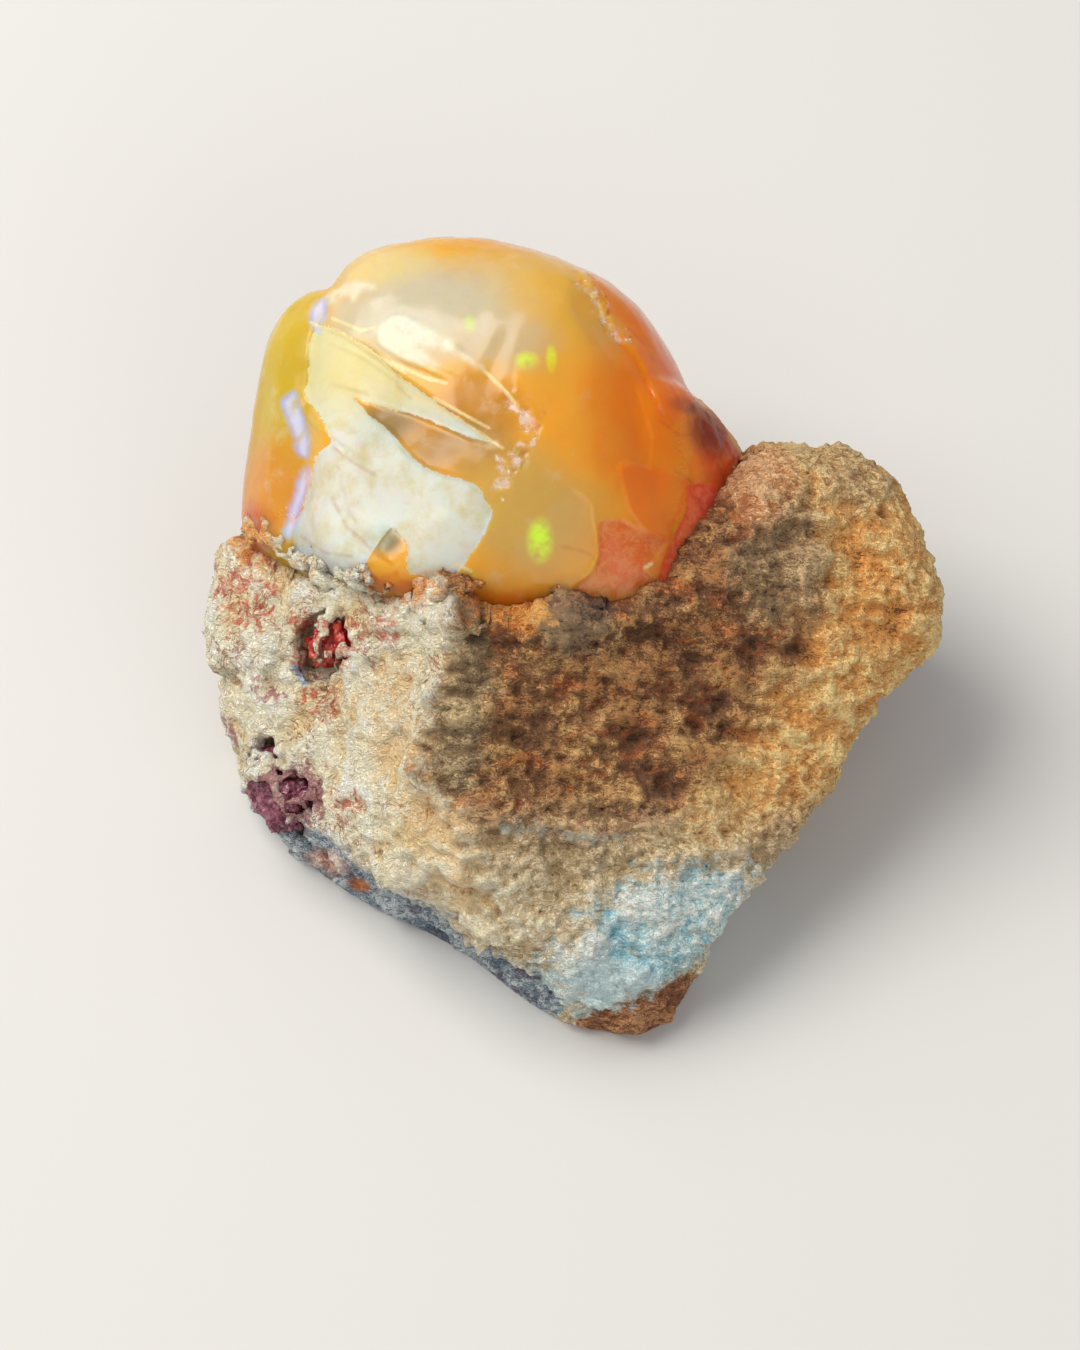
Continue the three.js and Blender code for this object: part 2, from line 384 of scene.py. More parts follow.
# %% Hackles, plates and cracks
PALE_BREAK = [
    (-11.7, 14.0), (-10.4, 13.3), (-9.0, 12.5), (-8.2, 11.6), (-6.8, 10.5), (-5.3, 9.4), (-3.4, 8.1),
    (-5.3, 8.7), (-7.0, 9.5), (-8.7, 10.0), (-10.0, 10.5), (-9.2, 9.6), (-8.2, 8.8), (-7.5, 7.9),
    (-6.7, 7.2), (-5.5, 6.8), (-4.5, 6.5), (-3.7, 5.2), (-4.3, 4.0), (-5.6, 2.2), (-6.6, 2.5),
    (-7.5, 2.6), (-7.5, 4.0), (-8.2, 4.7), (-8.9, 3.9), (-9.6, 2.6), (-10.8, 2.4), (-12.9, 3.2),
    (-12.6, 5.0), (-12.0, 6.6), (-11.6, 7.9), (-10.9, 8.5), (-11.4, 9.6), (-12.2, 10.7),
    (-12.1, 12.3), (-12.0, 13.4),
]
# A blade step whose whiteness is painted later as a highlight.
HIGHLIT_BLADE = [
    (-9.0, 13.3), (-8.4, 14.0), (-7.7, 14.1), (-7.1, 13.7), (-6.4, 13.2), (-5.5, 12.8), (-4.9, 12.2),
    (-4.0, 11.4), (-5.2, 12.1), (-6.2, 12.5), (-7.0, 12.6), (-6.6, 12.1), (-6.1, 11.6),
    (-6.8, 11.7), (-7.8, 12.0), (-8.8, 12.6),
]
TOP_GLINT = [
    (-11.3, 15.3), (-10.1, 15.8), (-8.9, 15.4), (-9.6, 15.2), (-9.9, 14.8), (-10.5, 15.2),
    (-11.0, 14.7),
]
LOWER_PLATE = [
    (0.8, 4.8), (1.9, 5.0), (2.8, 4.4), (4.0, 4.3), (3.4, 3.4), (2.8, 2.8), (3.5, 2.2), (3.2, 0),
    (-0.6, 0), (-0.4, 1.9), (0.6, 2.6), (0.9, 3.4),
]
UPPER_PLATE = [
    (1.6, 7.6), (4.1, 7.2), (4.9, 6.8), (4.7, 5.3), (4.1, 4.8), (4.0, 4.1), (3.0, 4.3), (2.1, 5.5),
]
RIGHT_FACET = [
    (0.1, 16.4), (1.1, 14.5), (2.3, 13.4), (2.8, 12.2), (3.0, 10.8), (3.9, 9.1), (4.5, 9.4), (5.4, 10.8),
    (8, 11.4), (8, 17),
]
PLATE_EDGES = [
    # thin bright edges of the plates, where light gets in
    [(4.8, 6.8), (4.5, 5.5), (4.0, 4.8), (3.9, 4.1), (3.6, 2.9)],
    [(6.2, 5.0), (5.7, 3.9), (5.8, 2.8), (5.5, 2.0)],
]
RED_PLATE = [
    (4.9, 6.8), (6.8, 6.4), (7.6, 5.3), (7.0, 3.7), (6.2, 1), (3.5, 1), (3.5, 2.4),
    (4.0, 3.9), (4.7, 5.3),
]
HACKLES = [
    # line, height of the step, how far it fades
    ([(-12.4, 14.2), (-10.4, 13.2), (-8.6, 11.9), (-6.4, 10.3), (-3.4, 8.1)], 0.14, 0.7),
    ([(-12.0, 13.4), (-9.6, 12.2), (-7.0, 10.3), (-4.0, 8.8)], 0.07, 0.35),
    ([(-10.0, 10.6), (-8.4, 10.0), (-6.2, 9.0), (-3.6, 7.9)], -0.12, 0.5),
    ([(-11.4, 11.2), (-9.4, 10.6), (-8.9, 9.6)], 0.06, 0.4),
    ([(-9.2, 13.0), (-7.6, 11.9), (-5.4, 10.9)], 0.08, 0.3),
    ([(-7.4, 12.3), (-6.0, 11.5), (-4.4, 10.9)], 0.05, 0.25),
    ([(-12.9, 10.8), (-11.7, 9.2), (-10.7, 8.5), (-12.4, 7.6)], 0.1, 0.5),
    ([(-10.8, 8.0), (-10.2, 5.4), (-8.8, 3.6), (-7.8, 2.6)], 0.03, 0.5),
    ([(-0.4, 16.6), (0.3, 15.4), (1.0, 14.3), (1.5, 13.4), (2.6, 12.0), (3.4, 10.1), (4.2, 9.0)], 0.2, 1.6),
    ([(1.4, 12.4), (2.6, 10.6), (3.2, 8.6), (3.0, 6.4)], 0.05, 1.2),
    ([(-3.8, 11.2), (-2.9, 10.0)], 0.06, 0.3),
    ([(-0.6, 6.6), (0.4, 5.6), (0.7, 3.4), (-0.2, 2.0)], 0.08, 0.7),
    ([(5.0, 11.8), (5.9, 10.2), (7.0, 8.6)], 0.08, 0.6),
]
SCHILLER = [
    [(-12.0, 14.8), (-11.4, 15.2), (-11.2, 14.3), (-11.6, 13.4), (-12.0, 13.8)],
    [
        (-13.4, 10.5), (-12.7, 11.0), (-12.3, 9.9), (-12.0, 8.8), (-12.0, 7.9), (-12.5, 7.9),
        (-12.8, 9.0),
    ],
    [(-12.0, 7.6), (-11.9, 7.0), (-12.3, 5.9), (-12.8, 4.2), (-13.3, 4.4), (-12.8, 6.2), (-12.4, 7.4)],
]
GLINTS = [
    # thin bright lines on the crests of the hackles
    [(-12.0, 14.0), (-10.6, 13.4), (-8.8, 12.2), (-7.6, 11.4)],
    [(-11.0, 14.1), (-9.6, 13.4), (-9.0, 13.5)],
    [(-7.2, 10.4), (-5.2, 9.3), (-3.3, 8.0)],
    [(-6.4, 10.3), (-5.0, 9.5), (-3.9, 8.9)],
    [(-4.1, 11.4), (-3.2, 10.5), (-2.8, 10.0)],
    [(-8.2, 11.9), (-6.8, 11.2), (-5.8, 10.9)],
    [(0.3, 15.2), (0.9, 14.6), (1.1, 13.9)],
    [(2.9, 2.9), (3.2, 3.1)],
    [(-6.0, 2.6), (-5.3, 3.0), (-4.7, 2.7)],
]
CRACKS = [
    # thin dark cracks under the skin
    [(-10.9, 6.0), (-10.2, 4.7), (-9.6, 4.2), (-8.8, 3.4), (-8.1, 3.0)],
    [(-10.9, 8.3), (-10.0, 7.6), (-9.0, 7.0)],
    [(-12.4, 4.4), (-11.2, 3.6), (-10.0, 3.4)],
    [(-7.9, 11.6), (-8.0, 10.9), (-7.4, 10.3)],
    [(2.2, 13.6), (2.9, 12.9), (3.3, 12.2)],
    [(3.9, 11.4), (4.3, 10.6), (5.0, 9.4), (5.9, 8.2), (6.6, 6.8)],
    [(3.6, 9.4), (4.4, 8.8), (5.2, 8.9)],
    [(4.2, 7.2), (4.9, 6.9), (5.4, 5.9)],
    [(-0.8, 3.8), (0.4, 3.5), (1.2, 2.6)],
]
CHIP_LINE = [(-3.1, 10.1), (-2.6, 9.7), (-2.1, 9.2), (-2.2, 8.3), (-2.5, 7.7), (-3.2, 7.3), (-3.3, 6.6)]
RIM_STAIN = [
    (-9.4, 2.4), (-8.4, 1.9), (-6.6, 2.0), (-4.6, 1.6), (-3.2, 0.6), (-1.8, 0.8), (0.6, 1.2), (1.8, 0.8),
]
CORNER_CHIP = [(0.2, 15.4), (1.0, 14.6), (1.2, 13.8), (2.0, 13.0)]
print(len(HACKLES), "hackles,", len(CRACKS), "cracks,", len(GLINTS), "glints")

# %% [markdown]
# ## The broken glass
#
# A hackle is a crisp step on one side that fades away on the other, so it is measured from the
# signed distance to its line. Plates are outlines that stand a little proud or sunk. Ripples fan
# out from where the break began. All of it is one height at each vertex, added up and then moved
# along the normal once, because steps that were cut one after another would tear at their corners.

# %% The broken glass
def step_along(points, line, height, fade):
    """A crisp step on the left of a line that fades out over fade millimetres, and towards its ends."""
    nearest, side, ends = beside(points, line)
    on_side = smooth_step(nearest * side, -0.03, 0.07)
    return height * np.exp(-nearest / fade) * on_side * ends * (points[:, 2] > -3)


BREAK_START = Vector((-12.5, 15.2, 1.0))


def ripple(place):
    """Rings that spread from where the break began, with a little wander."""
    spread = (place - BREAK_START).length + 0.8 * noise.noise(place / 2.5)
    return noise.noise(Vector((spread * 1.3, 0.3 * place.x, 0.3 * place.y)))


def noise_over(points, size_mm, make, shift=0.0):
    """A noise value at every vertex. make turns a place, measured in noise cells, into a number."""
    offset = Vector((shift, shift, shift))
    return np.array([make(Vector(p) / size_mm + offset) for p in points])


def rough_over(points, size_mm, falloff, finer, layers, shift=0.0):
    """Layered noise at every vertex, each layer finer times as fine as the last."""
    return noise_over(points, size_mm, lambda p: noise.fractal(p, falloff, finer, layers), shift)


points, normals = points_of(opal)
pale_break = inside(points, PALE_BREAK, -1)
highlit_blades = np.maximum(inside(points, HIGHLIT_BLADE, -1), inside(points, TOP_GLINT, -1))
lower_plate = inside(points, LOWER_PLATE, -2)
upper_plate = inside(points, UPPER_PLATE, -2)
red_plate = inside(points, RED_PLATE, -2)

step = -0.1 * smooth_step(pale_break, -0.08, 0.1)
step += 0.035 * smooth_step(highlit_blades, -0.15, 0.2)
step -= 0.1 * smooth_step(lower_plate, -0.08, 0.08)
step += 0.09 * smooth_step(upper_plate, -0.06, 0.06)
step -= 0.16 * smooth_step(red_plate, -0.08, 0.1)
for line, height, fade in HACKLES:
    step += step_along(points, line, height, fade)
step += 0.03 * noise_over(points, 1, ripple)
step += 0.06 * rough_over(points, 3.2, 0.8, 2.0, 3)
print("steps from", round(step.min(), 2), "to", round(step.max(), 2), "mm")

# %% [markdown]
# ## Chips, coarse glass and clay
#
# Along two lines the glass has crumbled into chips, which are the cells of a Voronoi noise. Where
# the opal meets the stone it is coarse. Nobody sees its back, where patches of a thin clay skin still
# stick to it. What a material needs to know about a vertex is kept on the mesh under a plain name.

# %% Chips, coarse glass and clay
CHIP_MM = 0.35
wobble = 0.6 * rough_over(points, 0.6, 0.6, 2.0, 3)
chips = np.zeros(len(points))
for line, width in ((CHIP_LINE, 0.24), (CORNER_CHIP, 0.12)):
    away = near_line(points, line) + wobble
    chips = np.maximum(chips, smooth_step(width - away, -0.15, 0.15) * (points[:, 2] > -1))
chipped = np.flatnonzero(chips > 0)
for index in chipped:
    cell = noise.voronoi(Vector(points[index]) / CHIP_MM)
    step[index] += chips[index] * (0.12 * noise.cell(cell[1][0] * 7) + 0.2 * cell[0][0] - 0.16)

skirt = smooth_step(points[:, 0], 3.8, 6) * smooth_step(points[:, 1], 12, 9)
lower_left = smooth_step(points[:, 1], 6.5, 3.5) * smooth_step(points[:, 0], -11, -13.5)
coarse = np.maximum(skirt, lower_left)
for index in np.flatnonzero(coarse > 0.01):
    step[index] += coarse[index] * 0.16 * noise.fractal(Vector(points[index]) / 1.1, 0.7, 2.1, 4)

rind = rough_over(points, 2.6, 0.8, 2.2, 4, 20)
rind = smooth_step(rind, -0.06, 0.16) * smooth_step(points[:, 2], -3.5, -6)
step += rind * (0.1 + 0.12 * rough_over(points, 0.5, 0.8, 2.0, 2, 4))

points = points + normals * step[:, None]
move_to(opal, points)
opal_marks = {
    "rind": rind, "pale": pale_break, "blade": highlit_blades, "chips": chips, "coarse": coarse,
    "lower_plate": lower_plate, "upper_plate": upper_plate, "red_plate": red_plate,
    "right_facet": inside(points, RIGHT_FACET, -4),
    "schiller": np.maximum.reduce([inside(points, o, -3) for o in SCHILLER]),
    "plate_edges": along_lines(points, PLATE_EDGES, 0.09, -2),
    "glint": along_lines(points, GLINTS, 0.07, -1),
    "cracks": along_lines(points, CRACKS, 0.05, -2),
    "rim": along_lines(points, [RIM_STAIN], 0.45, -1),
}
for mark, values in opal_marks.items():
    keep_as(opal, mark, values)
opal_tree = BVHTree.FromPolygons(
    [tuple(p) for p in points], [tuple(f.vertices) for f in opal.data.polygons]
)
finish_shape(opal)
print("opal finished:", len(opal.data.polygons), "faces,", len(chipped), "points in chips")

# %% [markdown]
# ## Zones of the rhyolite
#
# Rhyolite around opal is baked clay and glass dust. Its left face is smooth and wrinkled like
# kneaded dough, its front is crumbly with slanting layers, and the blue patch low down is almost
# polished. One displacement texture can't be all of these, so each zone has its outline. The same
# outlines weigh the relief now and the colours later, so that a stain never slides off its ground.

# %% Zones of the rhyolite
CREAM_FACE = [
    (-19, 6), (-12, 6), (-9, 3), (-5.4, 2.2), (-5.2, -0.8), (-6.0, -3.7), (-6.8, -5.2), (-5.8, -6.8),
    (-4.9, -9.2), (-3.8, -10.6), (-5, -14), (-9.6, -10.8), (-15.1, -7.4), (-19, -4),
]
OCHRE_PATCHES = [
    [
        (-9.4, -4.9), (-7.2, -3.6), (-6.3, -4.8), (-6.6, -6.2), (-5.0, -7.8), (-3.9, -10.2),
        (-3.6, -12.4), (-5.6, -12.2), (-7.4, -10.8), (-7.9, -9.2), (-7.3, -7.2), (-8.9, -6.2),
    ],
    [(-8.8, -1.0), (-7.6, -0.6), (-7.0, -2.2), (-7.4, -4.0), (-9.2, -4.2), (-9.6, -2.6)],
    [(-16.0, 4.4), (-13.0, 3.4), (-11.0, 2.4), (-12.4, 1.8), (-14.6, 2.6)],
]
BLUE_LENS = [(-12.9, -1.3), (-12.3, -1.0), (-12.0, -1.8), (-12.3, -2.4), (-12.8, -2.1)]
RIGHT_LOBE = [
    (8.8, 9), (18, 9), (18, -6), (9.5, -7.5), (6.5, -10), (3.6, -9.4), (5.5, -6.5), (8.4, -4), (9.2, -1.4),
    (10.2, 0.6), (10.9, 2.8), (10.2, 4.8), (9.6, 6.6),
]
LOBE_SHADES = [
    [
        (8.0, 5.2), (9.2, 6.8), (10.2, 6.2), (11.0, 4.4), (11.4, 2.4), (10.4, 0.8), (8.6, 0.2),
        (7.0, 1.6), (6.8, 3.8),
    ],
    [(9.4, 8.8), (12.6, 9.0), (14.4, 6.8), (13.2, 5.4), (11.0, 6.4), (9.6, 7.0)],
]
PINK_END = [(6.8, 8.4), (9.6, 8.2), (9.6, 6.2), (8.6, 5.0), (7.4, 4.6), (6.9, 6)]
BLUE_PATCH = [
    (0.2, -12.4), (2.4, -10.9), (4.6, -10.3), (7.4, -10.4), (8, -12), (5.9, -14), (5.4, -15.2),
    (3.8, -16.4), (0.1, -17.2), (-3.2, -15.6), (-1.6, -14.4), (-0.4, -13.2),
]
RUST_TIP = [(-0.6, -17.3), (1.8, -16.7), (3.3, -16.2), (5.2, -15.2), (6, -17), (3, -19), (0, -18.6)]
LOWER_STRIP = [
    (-16, -6.6), (-13.1, -8.3), (-11.3, -9.0), (-9.6, -10.2), (-7.4, -12.0), (-4.6, -13.6), (-0.4, -16.6),
    (-3, -19), (-16, -12),
]
# Painted shadow on the right flank of the crest between the cream face and the brown front.
RIDGE_SHADOW = [
    (-5.3, 1.8), (-4.0, 1.4), (-3.8, -2.0), (-4.4, -6.2), (-5.6, -7.2), (-6.6, -4.8), (-5.6, -2.0),
]
GREY_LUMP = [(-2.3, 1.0), (-0.6, 1.9), (1.0, 1.6), (1.6, 0.2), (0.2, -1.0), (-1.8, -0.4)]
RED_STAINS = [
    [(-16.6, 3.2), (-14.3, 3.6), (-13.2, 2.2), (-14.0, 0.3), (-15.4, -0.6), (-16.4, 1)],
    [(-9.4, 1.4), (-8.2, 1.2), (-7.8, 0.2), (-8.6, -0.5), (-9.6, 0.1)],
    [(-12.6, -2.2), (-11.2, -2.4), (-10.4, -3.2), (-11.4, -3.6), (-12.8, -3.0)],
    [(-11.4, -6.2), (-10.2, -6.6), (-9.4, -7.8), (-10.6, -8.4), (-11.6, -7.4)],
    [(-12.9, 1.0), (-9.2, 0.9), (-9.4, -0.6), (-11.2, -1.8), (-13.0, -1.4)],
]
PURPLE_STAINS = [
    [(-15.4, -7.4), (-13.9, -6.0), (-12.4, -5.8), (-11.4, -7.0), (-12.0, -8.4), (-13.6, -8.6)],
    [(-14.6, -1.8), (-13.4, -2.6), (-13.3, -3.1), (-14.4, -2.5)],
    [(-17, -3.4), (-15.8, -4.0), (-15.6, -5.6), (-16.6, -5.8)],
]
ORANGE_RIM = [
    [(-9.4, 2.9), (-7.2, 2.6), (-6.0, 2.2), (-6.6, 1.5), (-8.6, 1.7)],
    [
        (-5.2, 1.8), (-4.2, 2.2), (-3.0, 1.4), (-1.6, 1.6), (-1.2, 0.5), (-2.2, 0.0), (-3.6, 0.3),
        (-4.6, 0.9),
    ],
    [(-16.4, 5.0), (-14.6, 5.6), (-13.4, 4.2), (-14.2, 3.4), (-15.8, 3.8)],
]
PALE_STREAK = [(-3.6, -8.1), (-1.0, -8.6), (2.1, -8.9), (2.0, -9.3), (-1.2, -9.0), (-3.4, -8.6)]
SLABS = [
    [
        (-5.0, -10.2), (-3.4, -10.2), (-1.9, -11.8), (-1.2, -13.2), (-1.9, -14.2), (-2.9, -13.2),
        (-3.4, -11.8),
    ],
    [(-5.9, -12.9), (-4.4, -12.0), (-3.6, -12.2), (-3.2, -13.3), (-4.2, -14.2), (-5.4, -13.6)],
    [(-8.6, -9.4), (-7.2, -9.2), (-6.4, -10.2), (-7.0, -11.2), (-8.4, -10.6)],
]
PITS = [
    # u, v, width, depth
    (3.6, -6.9, 0.5, 0.5), (-1.5, -6.9, 0.45, 0.55), (9.9, -0.7, 0.6, 0.6), (7.7, -1.4, 0.5, 0.7),
    (5.1, -4.1, 0.5, 0.4), (12.6, 3.2, 0.45, 0.5), (14.2, 1.0, 0.4, 0.5), (11.2, 2.4, 0.35, 0.5),
    (12.4, -1.6, 0.4, 0.5), (0.6, -3.2, 0.5, 0.5), (2.2, -4.6, 0.35, 0.4), (-2.6, -4.3, 0.3, 0.4),
    (6.4, -2.8, 0.35, 0.45), (-13.9, -2.4, 0.5, 0.6), (-12.3, -1.8, 0.45, 0.5), (-12.6, -7.2, 0.7, 0.6),
    (-14.0, -7.2, 0.5, 0.5), (-10.1, -7.4, 0.4, 0.4), (13.6, -3.0, 0.3, 0.4), (10.4, 4.4, 0.3, 0.4),
]
print(len(SLABS), "slabs and", len(PITS), "pits on the rhyolite")

# %% [markdown]
# ## The crust on the glass
#
# The stone doesn't stop at a clean edge: crumbs of it still cling to the glass and to the rims of
# the two pockets. They are small squashed spheres with shaken corners, laid where a straight look
# from the show side first meets a surface. They go in before the voxel remesh, which melts them into
# the rock, while crumbs joined with Booleans would leave creases.

# %% The crust on the glass
CONTACT_LINE = [
    (-15.3, 5.2), (-14.2, 4.6), (-13.0, 3.6), (-10.4, 2.4), (-7.8, 1.5), (-6.2, 1.7), (-5.2, 1.9),
    (-4.2, 1.5), (-3.0, 0.4), (-2.0, 0.7), (-0.4, 1.4), (0.8, 1.2), (1.5, 0.4), (2.6, 1.0), (3.4, 1.4),
    (5.2, 1.4), (5.9, 2.4), (6.2, 4.0), (7.2, 5.2), (7.6, 7.6),
]
RED_POCKET_RIM = [(-12.1, 0.5), (-11.0, 1.0), (-9.9, 0.7), (-9.6, 0), (-10.4, -0.8), (-11.7, -1.3)]
PURPLE_POCKET_RIM = [(-14.8, -6.2), (-13.2, -5.4), (-11.7, -6.2), (-11.6, -7.6), (-12.6, -8.6)]
PURPLE_STRANDS = [
    [(-14.9, -6.4), (-13.9, -6.7), (-13.0, -6.2)],
    [(-14.2, -5.6), (-13.6, -7.2), (-12.9, -8.6)],
    [(-12.6, -7.8), (-11.8, -7.0), (-11.2, -7.2)],
]
RED_STRANDS = [[(-11.9, -0.8), (-11.3, -0.3), (-11.3, 0.4)]]
packed_surfaces = [
    BVHTree.FromObject(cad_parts[node], bpy.context.evaluated_depsgraph_get())
    for node in ("host_rock", "red_opal_pocket", "purple_opal_pocket")
]


def front_surface(u, v):
    """Where a straight line from the show side first meets the stone or the glass, and its facing."""
    start = Vector((u, v, 40))
    towards = Vector((0, 0, -1))
    glass, glass_facing, _, _ = opal_tree.ray_cast(start, towards)
    turn = to_show.to_3x3().normalized()
    stone, stone_facing = None, None
    for surface in packed_surfaces:
        hit, facing, _, _ = surface.ray_cast(to_frame @ start, turn.inverted() @ towards)
        if hit is not None and (stone is None or (to_show @ hit).z > stone.z):
            stone = to_show @ hit
            stone_facing = turn @ facing
    if glass is not None and (stone is None or glass.z > stone.z):
        return glass, glass_facing
    return stone, stone_facing


def add_crumb(bm, rng, place, facing, radius):
    """A flat angular crumb of stone that lies on a surface."""
    lying = facing.to_track_quat("Z", "Y").to_matrix().to_4x4()
    turned = Matrix.Rotation(rng.uniform(0, 6.3), 4, "Z")
    squashed = Matrix.Diagonal((rng.uniform(0.8, 1.7), rng.uniform(0.6, 1.1), rng.uniform(0.3, 0.6), 1))
    matrix = Matrix.Translation(place) @ lying @ turned @ squashed
    made = bmesh.ops.create_icosphere(bm, subdivisions=2, radius=radius, matrix=matrix)
    for corner in made["verts"]:
        corner.co += (place - corner.co) * rng.uniform(-0.5, 0.45)


CRUST_PATCHES = [
    # stone that has stayed on the lower edge of the glass
    [(-2.7, 0.2), (-1.7, 0.9), (-0.6, 1.8), (0.7, 1.5), (1.5, 0.5), (1.3, -0.2), (-1.8, -0.2)],
    [
        (1.9, 0.6), (2.5, 1.2), (2.9, 2.1), (3.5, 1.7), (4.0, 2.2), (4.6, 1.6), (5.2, 2.4), (5.8, 2.9),
        (6.0, 4.0), (6.8, 5.0), (6.9, 2.4), (5.6, 0.6),
    ],
    [(-6.6, 1.2), (-6.0, 2.2), (-5.2, 2.8), (-4.6, 2.1), (-3.9, 1.2), (-4.8, 0.6)],
]


CRUMB_LIFT_MM = 0.16
CRUMBS_PER_MM2 = 18
DEEPEST_CRUMB_MM = -5


def walk(line, pace_mm):
    """Places along a line, about one pace apart."""
    for (ax, ay), (bx, by) in segments(line):
        steps = max(1, round(np.hypot(bx - ax, by - ay) / pace_mm))
        for number in range(steps):
            share = number / steps
            yield ax + (bx - ax) * share, ay + (by - ay) * share


def add_crust(bm):
    """Crumbs of stone that climb on the glass round the socket and round the two pockets."""
    rng = Random(11)
    lines = [
        # line, how far crumbs scatter, their size
        (CONTACT_LINE, 0.2, 0.22),
        (CONTACT_LINE, 0.36, 0.18),
        (RED_POCKET_RIM, 0.2, 0.24),
        (PURPLE_POCKET_RIM, 0.4, 0.34),
        *[(strand, 0.14, 0.26) for strand in PURPLE_STRANDS + RED_STRANDS],
    ]
    for line, scatter, size in lines:
        for along_u, along_v in walk(line, 0.16):
            u = along_u + rng.gauss(0, scatter)
            v = along_v + rng.gauss(0, scatter)
            place, facing = front_surface(u, v)
            if place is not None and place.z > DEEPEST_CRUMB_MM:
                add_crumb(bm, rng, place, facing, size * rng.uniform(0.4, 1.2))

    for outline in CRUST_PATCHES:
        lowest, highest = np.min(outline, axis=0), np.max(outline, axis=0)
        for _ in range(round(np.prod(highest - lowest) * CRUMBS_PER_MM2)):
            u = rng.uniform(lowest[0], highest[0])
            v = rng.uniform(lowest[1], highest[1])
            if inside(np.array([[u, v, 0.0]]), outline)[0] > 0:
                place, facing = front_surface(u, v)
                lifted = place + CRUMB_LIFT_MM * facing
                add_crumb(bm, rng, lifted, facing, rng.uniform(0.26, 0.42))

    # A row of filling closes the shadow line where the glass overhangs the stone.
    for u, v in walk(CONTACT_LINE, 0.2):
        glass, _ = front_surface(u - 0.1, v + 0.45)
        stone, facing = front_surface(u + 0.1, v - 0.45)
        if glass is not None and stone is not None and min(glass.z, stone.z) > -4:
            level = 0.25 * glass.z + 0.75 * stone.z - 0.25 + rng.gauss(0, 0.12)
            place = Vector((u + rng.gauss(0, 0.15), v - 0.2 + rng.gauss(0, 0.14), level))
            add_crumb(bm, rng, place, facing, rng.uniform(0.22, 0.36))


rock = fine_copy("host_rock", "rhyolite", ROCK_VOXEL_MM, 5, add_crust)

# %% [markdown]
# ## The rhyolite's surface
#
# Each zone gets its own kind of noise: lumps, layers and crumbs on the front, folds on the cream
# face. Every vertex remembers how high it stands, so that the material can paint shade into the
# cavities and light onto the crests. Round the opal the stone is drawn onto the glass, and at the
# base it is pressed flat.

# %% The rhyolite's surface
CRESTS = [
    # line, height, how far it falls away on its left and on its right
    ([(-5.0, 3.0), (-5.4, 0.6), (-5.5, -1.4), (-6.1, -3.2), (-7.2, -5.6)], 1.7, 1.6, 0.9),
    ([(-7.4, -3.6), (-6.3, -6.4), (-5.3, -8.6), (-4.6, -12)], 1.1, 1.4, 0.8),
    ([(-8.8, -2.2), (-8.2, -3.8), (-7.4, -5.0)], 0.25, 0.4, 1.0),
    ([(-13.6, 2.9), (-12.6, 1.8), (-12.8, 0.2), (-12.2, -1.6)], 0.3, 0.5, 0.8),
    ([(-4.9, -7.4), (-2.0, -7.9), (1.6, -8.6), (4.8, -8.4)], 0.25, 1.2, 0.4),
    ([(0.8, -1.4), (3.2, -2.2), (6.4, -2.0)], 0.25, 1.0, 0.4),
    ([(-2.8, -3.6), (0.4, -4.4), (3.6, -5.2), (6.0, -4.8)], 0.25, 1.0, 0.4),
]


def crinkle(place):
    """Sharp crooked crests with crumbly ground between them."""
    bent = place + 0.5 * noise.noise_vector(place * 0.7)
    coarse_crest = 1 - 2.4 * abs(noise.noise(bent))
    fine_crest = 1 - 2.4 * abs(noise.noise(bent * 2.1))
    return coarse_crest + 0.5 * fine_crest


def fold(place):
    """Soft pressed wrinkles, like kneaded dough."""
    bent = place + 1.1 * noise.noise_vector(place * 0.5)
    return 1 - 3 * abs(noise.noise(bent)) + 0.4 * noise.noise(bent * 2.7)


SOCKET_GRIP = 0.14
BASE_UP = np.array([0, np.sin(LEAN), np.cos(LEAN)])


def near_opal(points, normals):
    """How far each point is from the glass, whether it faces it, and its place a little way into it."""
    gap = np.full(len(points), 9.0)
    faces_it = np.zeros(len(points), bool)
    gripping = points.copy()
    for index, point in enumerate(points):
        hit, facing, _, away = opal_tree.find_nearest(Vector(point), 2.0)
        if hit is not None:
            gap[index] = away
            faces_it[index] = Vector(normals[index]).dot(facing) < -0.2
            gripping[index] = hit - facing * SOCKET_GRIP
    return gap, faces_it, gripping


def above_base(points):
    """Height over the flat base, in millimetres."""
    return points @ BASE_UP + SHOW_ORIGIN.z / MM


def crest_along(points, line, height, left_fade, right_fade, wander):
    """A crest that falls away quickly on one side of a line and slowly on the other."""
    nearest, side, ends = beside(points, line)
    fade = np.where(side > 0, left_fade, right_fade)
    crest = height * np.exp(-nearest / fade) * ends * (points[:, 2] > -3)
    return crest * np.clip(1 + wander, 0.2, 2)


NOTCH = [(-5.0, 1.9), (-4.6, 1.0), (-3.4, 0.4), (-2.2, 0.6), (-2.2, 1.4), (-3.2, 2.6)]

points, normals = points_of(rock)
gap, faces_it, _ = near_opal(points, normals)
unseen = (faces_it & (gap < 1)) | (above_base(points) < 0.4) | (points[:, 2] < -8)
thin_out(rock, unseen, ROCK_SHARE)

points, normals = points_of(rock)
gap, faces_it, gripping = near_opal(points, normals)
in_socket = smooth_step(gap, 1.1, 0.7) * faces_it

cream = inside(points, CREAM_FACE, -8)
blue = inside(points, BLUE_PATCH, -6)
on_cream = smooth_step(cream, -0.4, 0.8)
on_blue = smooth_step(blue, -0.8, 0.6)
low_front = smooth_step(points[:, 1], -6, -11)

